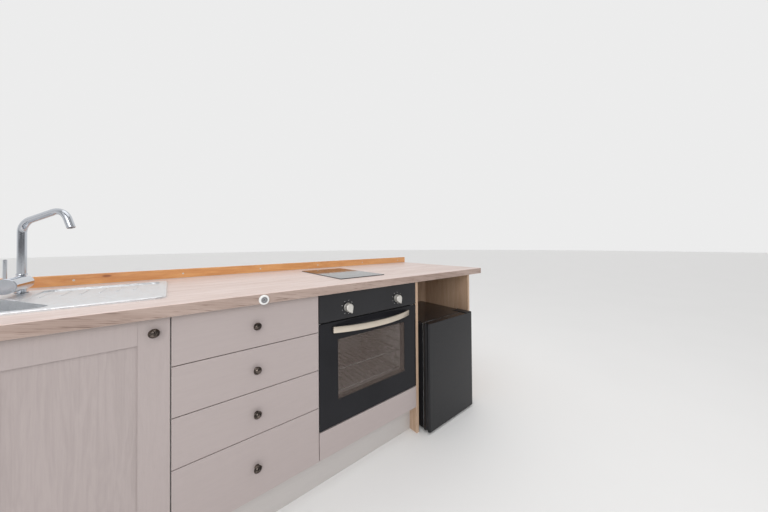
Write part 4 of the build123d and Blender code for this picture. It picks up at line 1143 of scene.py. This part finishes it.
        material("speckled enamel", enamel, "oven_cavity")
        material("zinc sheet", zinc, "oven_casing", metallic=0.8)
        material("plated wire", metal_fill(metals.wire, 0.16, lines=0.10), "oven_racks",
                 "oven_side_rails", metallic=1.0)
        low, high = box_of("oven_cavity")
        rails_low, rails_high = box_of("oven_side_rails")
        door_low, door_high = box_of("oven_door_glass")
        centre_x, middle_z = (low[0] + high[0]) / 2, (door_low[2] + door_high[2]) / 2
        back = high[1] - 0.0015
        centre = (centre_x, back, middle_z)
        lamp = (rails_low[0] + 0.05, back, rails_high[2] + 0.012)
        outline = round_rectangle(rails_high[0] - rails_low[0] + 0.018,
                                  door_high[2] - door_low[2] - 0.09, 0.03, 8)
        bead = circle(16) * (0.0028, 0.0012)
        for name, grid, finish, fill in (
                ("oven_fan_cover", turned(self.fan_cover, centre, OUT_OF_WALL, 96),
                 "fan cover enamel", self.vents(metals, centre)),
                ("oven_lamp", turned(self.lamp_lens, lamp, OUT_OF_WALL, 48), "lamp lens",
                 plastic_fill((0.82, 0.80, 0.74), 0.08, 200.0)),
                ("oven_element", self.element(centre_x, low, high, rails_high),
                 "grill element", plastic_fill((0.10, 0.095, 0.09), 0.5, 700.0, 0.0001, 0.3)),
                ("oven_seal", edging(outline, bead, (centre_x, low[1] - 0.0008, middle_z),
                                     ALONG, UP, OUT_OF_WALL),
                 "fibre seal", plastic_fill((0.16, 0.16, 0.155), 0.85, 500.0, 0.0006, 0.3))):
            piece(name, [grid], "kitchen", material(finish, fill))

    def element(self, centre_x, low, high, rails_high):
        """A round rod under the cavity's roof, bent into two long loops: straight legs from
        the back, joined by half circles at the front and, in the middle, at the back."""
        leg, front, back = 0.045, low[1] + 0.10, high[1] - 0.06
        end, level = high[1] - 0.004, rails_high[2] + 0.022
        flat = np.concatenate([[(-3 * leg, end)],
                               arc_points((-2 * leg, front), leg, 180, 360, 12),
                               arc_points((0.0, back), leg, 180, 0, 12),
                               arc_points((2 * leg, front), leg, 180, 360, 12),
                               [(3 * leg, end)]])
        path = np.column_stack([centre_x + flat[:, 0], flat[:, 1], np.full(len(flat), level)])
        return carried(path, 0.0034 * circle(16), UP)

    def vents(self, metals, centre):
        """Enamel with three rings of slots, which are not cut: near-black dots paint the shade
        in them.
        """
        def fill(place):
            specks = place.noise(900.0).spread(0.60, 0.68)
            shown = (specks * 0.5).mix(shade(metals.enamel), (0.55, 0.55, 0.56, 1.0))
            for radius in (0.034, 0.046, 0.058):
                # Near-black dots: painted shade where the uncut vent slots would be.
                slots = place.dots(centre, radius, 0.0042, round(radius * 420.0))
                shown = slots.mix(shown, (0.004, 0.004, 0.004, 1.0))
            return {"Base Color": shown, "Roughness": specks.spread(0.0, 1.0, 0.2, 0.3)}
        return fill


class KITCHEN_OT_fridge(bpy.types.Operator):
    """Gloss black fridge with a white liner, and the magnetic seal of its door."""
    bl_idname = "kitchen.fridge"
    bl_label = "Fridge"
    wall = 0.036
    black, liner = (0.014, 0.014, 0.016), (0.80, 0.82, 0.82)
    seal = np.array(((0.009, 0.0), (0.010, 0.0011), (0.008, 0.0025), (0.009, 0.0039),
                     (0.007, 0.0048), (-0.007, 0.0048), (-0.009, 0.0039),
                     (-0.008, 0.0025), (-0.010, 0.0011), (-0.009, 0.0)))
    seal_depth = 0.005

    def execute(self, context):
        low, high = box_of("fridge_cabinet")
        door_low, door_high = box_of("fridge_door")
        wall = self.wall

        def dusty(place, share):
            handled = place.effect("handling")
            return ((handled["Dust"] * share).mix(shade(self.black), GREY_DUST),
                    handled["Smears"] * 0.10)

        def cabinet(place):
            inside = place.inside(low + (wall, 0.0005, wall), high - wall, 0.0004)
            ground, smears = dusty(place, 0.12)
            return {"Base Color": inside.mix(ground, shade(self.liner)),
                    "Roughness": inside.spread(0.0, 1.0, 0.14, 0.30) + smears,
                    "Normal": place.noise(330.0).bump(0.08, 0.0002)}

        def door(place):
            back = place.parts()[1] > door_high[1] - 0.0006
            lines = place.mapped(turn=QUARTER).effect("brushed", Scale=0.5)["Lines"]
            ground, smears = dusty(place, 0.10)
            return {"Base Color": back.mix(ground, shade(self.liner)),
                    "Roughness": lines.spread(0.3, 0.7, 0.05, 0.10) + smears,
                    "Normal": place.noise(300.0).bump(0.06, 0.0002)}

        material("fridge cabinet paint", cabinet, "fridge_cabinet", specular_ior_level=0.4)
        material("fridge door gloss", door, "fridge_door", specular_ior_level=0.26,
                 coat_weight=0.12, coat_roughness=0.03)
        material("clear tray plastic", plastic_fill((0.80, 0.83, 0.83), 0.14, 250.0),
                 "fridge_door_trays")
        material("shelf glass", glass_fill((0.50, 0.60, 0.57), None,
                                           smeared_alpha(0.42, 0.50)), "fridge_shelves")
        outline = round_rectangle(high[0] - low[0] - 0.030, high[2] - low[2] - 0.034, 0.012, 6)
        gap = low[1] - door_high[1]
        centre = ((low[0] + high[0]) / 2, door_high[1], (door_low[2] + door_high[2]) / 2)
        piece("fridge_door_seal", [edging(outline, self.seal * (1.0, gap / self.seal_depth),
                                          centre, ALONG, UP, INTO_WALL)], "fridge_door",
              material("door seal rubber", plastic_fill((0.030, 0.030, 0.032), 0.55, 500.0)))
        return {"FINISHED"}


class KITCHEN_OT_towel_holder(bpy.types.Operator):
    """White disc with a grey ring and a soft insert, in which a cloth's corner is pushed."""
    bl_idname = "kitchen.towel_holder"
    bl_label = "Towel holder"
    insert = [(0.0085, 0.0), (0.0084, 0.0008), (0.0074, 0.0011), (0.0046, 0.0004),
              (0.0034, -0.0018), (0.0033, -0.005), (0.0, -0.005)]

    def execute(self, context):
        material("white holder plastic", plastic_fill((0.84, 0.84, 0.83), 0.24, 700.0),
                 "towel_holder")
        low, high = box_of("towel_holder")
        centre = ((low[0] + high[0]) / 2, low[1], (low[2] + high[2]) / 2)
        ring = arc_points((0.0098, 0.0002), 0.0016, 0, 360, 16)
        piece("towel_holder_insert", [turned(profile, centre, OUT_OF_WALL, 64)
                                      for profile in (ring, self.insert)], "kitchen",
              material("grey insert", plastic_fill((0.22, 0.22, 0.23), 0.5,
                                                                     400.0)))
        return {"FINISHED"}


class KITCHEN_OT_stage(bpy.types.Operator):
    """Plain pale floor, soft light from all round, two lamps and the camera."""
    bl_idname = "kitchen.stage"
    bl_label = "Stage"

    def execute(self, context):
        stage = context.scene.kitchen_stage
        scene = context.scene
        scene.view_settings.view_transform = "Standard"
        self.floor(stage)
        self.world(scene, stage)
        self.lamp("Key lamp", (-1.7, -3.0, 2.5), (0.3, 0.0, 0.6), 2.2, stage.key)
        self.lamp("Fill lamp", (-0.2, -0.3, 3.4), (0.0, 0.0, 0.6), 2.4, stage.fill)
        self.camera(scene, stage)
        return {"FINISHED"}

    def floor(self, stage):
        ring = np.column_stack([circle(64), np.zeros(64)])
        radius = np.array((0.0, 1.0, 4.0, 12.0, 40.0))
        grid = radius[:, None, None] * ring[None]
        mesh = bpy.data.meshes.new("floor")
        mesh.from_pydata(grid.reshape(-1, 3).tolist(), [],
                         grid_faces(len(radius), len(ring), False, True).tolist())

        def fill(place):
            cloud = place.noise(1.3, 3.0)
            return {"Base Color": cloud.spread(0.3, 0.7).mix(shade(stage.floor, 0.985),
                                                            shade(stage.floor)),
                    "Roughness": cloud.spread(0.3, 0.7, 0.60, 0.68)}

        mesh.materials.append(material("plain floor", fill))
        shown = bpy.data.objects.new("floor", mesh)
        bpy.context.scene.collection.objects.link(shown)

    def world(self, scene, stage):
        """The camera sees a plain backdrop, and what is matt is lit by the same from all
        round. Gloss and glass mirror a studio: the backdrop, dim on the side that the fronts
        face, with two tall bright panels there."""
        world = bpy.data.worlds.new("room light")
        world.use_nodes = True
        tree = world.node_tree
        x, y, z = add(tree, "ShaderNodeTexCoord", {}, "Generated").parts()
        dim = y.spread(-0.75, 0.30, 1.0, 0.0, smooth=True)
        studio = dim.mix(shade(stage.backdrop), shade(stage.dim_side))
        turn = x.math("ARCTAN2", y * -1.0)
        height = z.spread(0.02, 0.06) * z.spread(0.70, 0.76, 1.0, 0.0)
        for middle, half in ((radians(-52), radians(11)), (radians(34), radians(7))):
            off = (turn - middle).math("ABSOLUTE")
            panel = off.spread(half, half + 0.03, 1.0, 0.0) * height
            studio = panel.mix(studio, (1.0, 1.0, 1.0, 1.0))
        path = signals(tree.nodes.new("ShaderNodeLightPath"))
        mirrored = path["Is Glossy Ray"].math("MAXIMUM", path["Is Transmission Ray"])
        seen = path["Is Camera Ray"].math("MAXIMUM", mirrored)
        back = tree.nodes["Background"].inputs
        feed(back["Color"], mirrored.mix(shade(stage.backdrop), studio))
        feed(back["Strength"], seen.spread(0.0, 1.0, stage.sky, 1.0))
        scene.world = world

    def lamp(self, name, place, target, size, power):
        data = bpy.data.lights.new(name, "AREA")
        data.shape, data.size, data.energy = "SQUARE", size, power
        lamp = bpy.data.objects.new(name, data)
        lamp.matrix_world = self.facing(place, np.array(target) - np.array(place))
        bpy.context.scene.collection.objects.link(lamp)

    def facing(self, place, way):
        """A matrix that stands at a place and looks along -Z towards the way given."""
        way = way / np.linalg.norm(way)
        right = np.cross(way, UP)
        right /= np.linalg.norm(right)
        return self.matrix(place, right, np.cross(right, way), way)

    def matrix(self, place, right, up, way):
        made = Matrix.Identity(4)
        for column, vector in enumerate((right, up, -way, place)):
            for row in range(3):
                made[row][column] = float(vector[row])
        return made

    def camera(self, scene, stage):
        """Turned by the yaw from +Y towards +X, tipped by a small pitch, then rolled."""
        pitch, roll = radians(-0.62), radians(-0.45)
        yaw = stage.camera_yaw
        way = np.array((sin(yaw) * cos(pitch), cos(yaw) * cos(pitch), -sin(pitch)))
        level = np.array((cos(yaw), -sin(yaw), 0.0))
        upright = np.cross(level, way)
        right = cos(roll) * level + sin(roll) * upright
        up = -sin(roll) * level + cos(roll) * upright
        data = bpy.data.cameras.new("camera")
        data.sensor_width, data.lens, data.shift_y = 36.0, stage.lens, -0.0204
        data.clip_start = 0.01
        camera = bpy.data.objects.new("camera", data)
        camera.matrix_world = self.matrix(tuple(stage.camera_place), right, up, way)
        scene.collection.objects.link(camera)
        scene.camera = camera


class KITCHEN_PT_run(bpy.types.Panel):
    """Lists the run's settings and the steps that make it."""
    bl_label = "Fitted kitchen run"
    bl_space_type = "VIEW_3D"
    bl_region_type = "UI"
    bl_category = "Kitchen run"

    def draw(self, context):
        for name, group in SETTINGS.items():
            box = self.layout.box()
            box.label(text=name.replace("_", " ").capitalize())
            for key in group.__annotations__:
                box.prop(getattr(context.scene, name), key)
        for operator in OPERATORS:
            self.layout.operator(operator.bl_idname)


OPERATORS = (KITCHEN_OT_worktop, KITCHEN_OT_fronts, KITCHEN_OT_carcasses, KITCHEN_OT_panels,
             KITCHEN_OT_knobs, KITCHEN_OT_sink, KITCHEN_OT_tap, KITCHEN_OT_hob,
             KITCHEN_OT_oven, KITCHEN_OT_fridge, KITCHEN_OT_towel_holder, KITCHEN_OT_stage)
CLASSES = (*SETTINGS.values(), *OPERATORS, KITCHEN_PT_run)


def register():
    for made in CLASSES:
        bpy.utils.register_class(made)
    for name, group in SETTINGS.items():
        setattr(bpy.types.Scene, name, PointerProperty(type=group))


def unregister():
    for name in SETTINGS:
        delattr(bpy.types.Scene, name)
    for made in reversed(CLASSES):
        bpy.utils.unregister_class(made)


def main():
    register()
    make_effects()
    for operator in OPERATORS:
        group, name = operator.bl_idname.split(".")
        getattr(getattr(bpy.ops, group), name)()


if __name__ == "__main__":
    main()
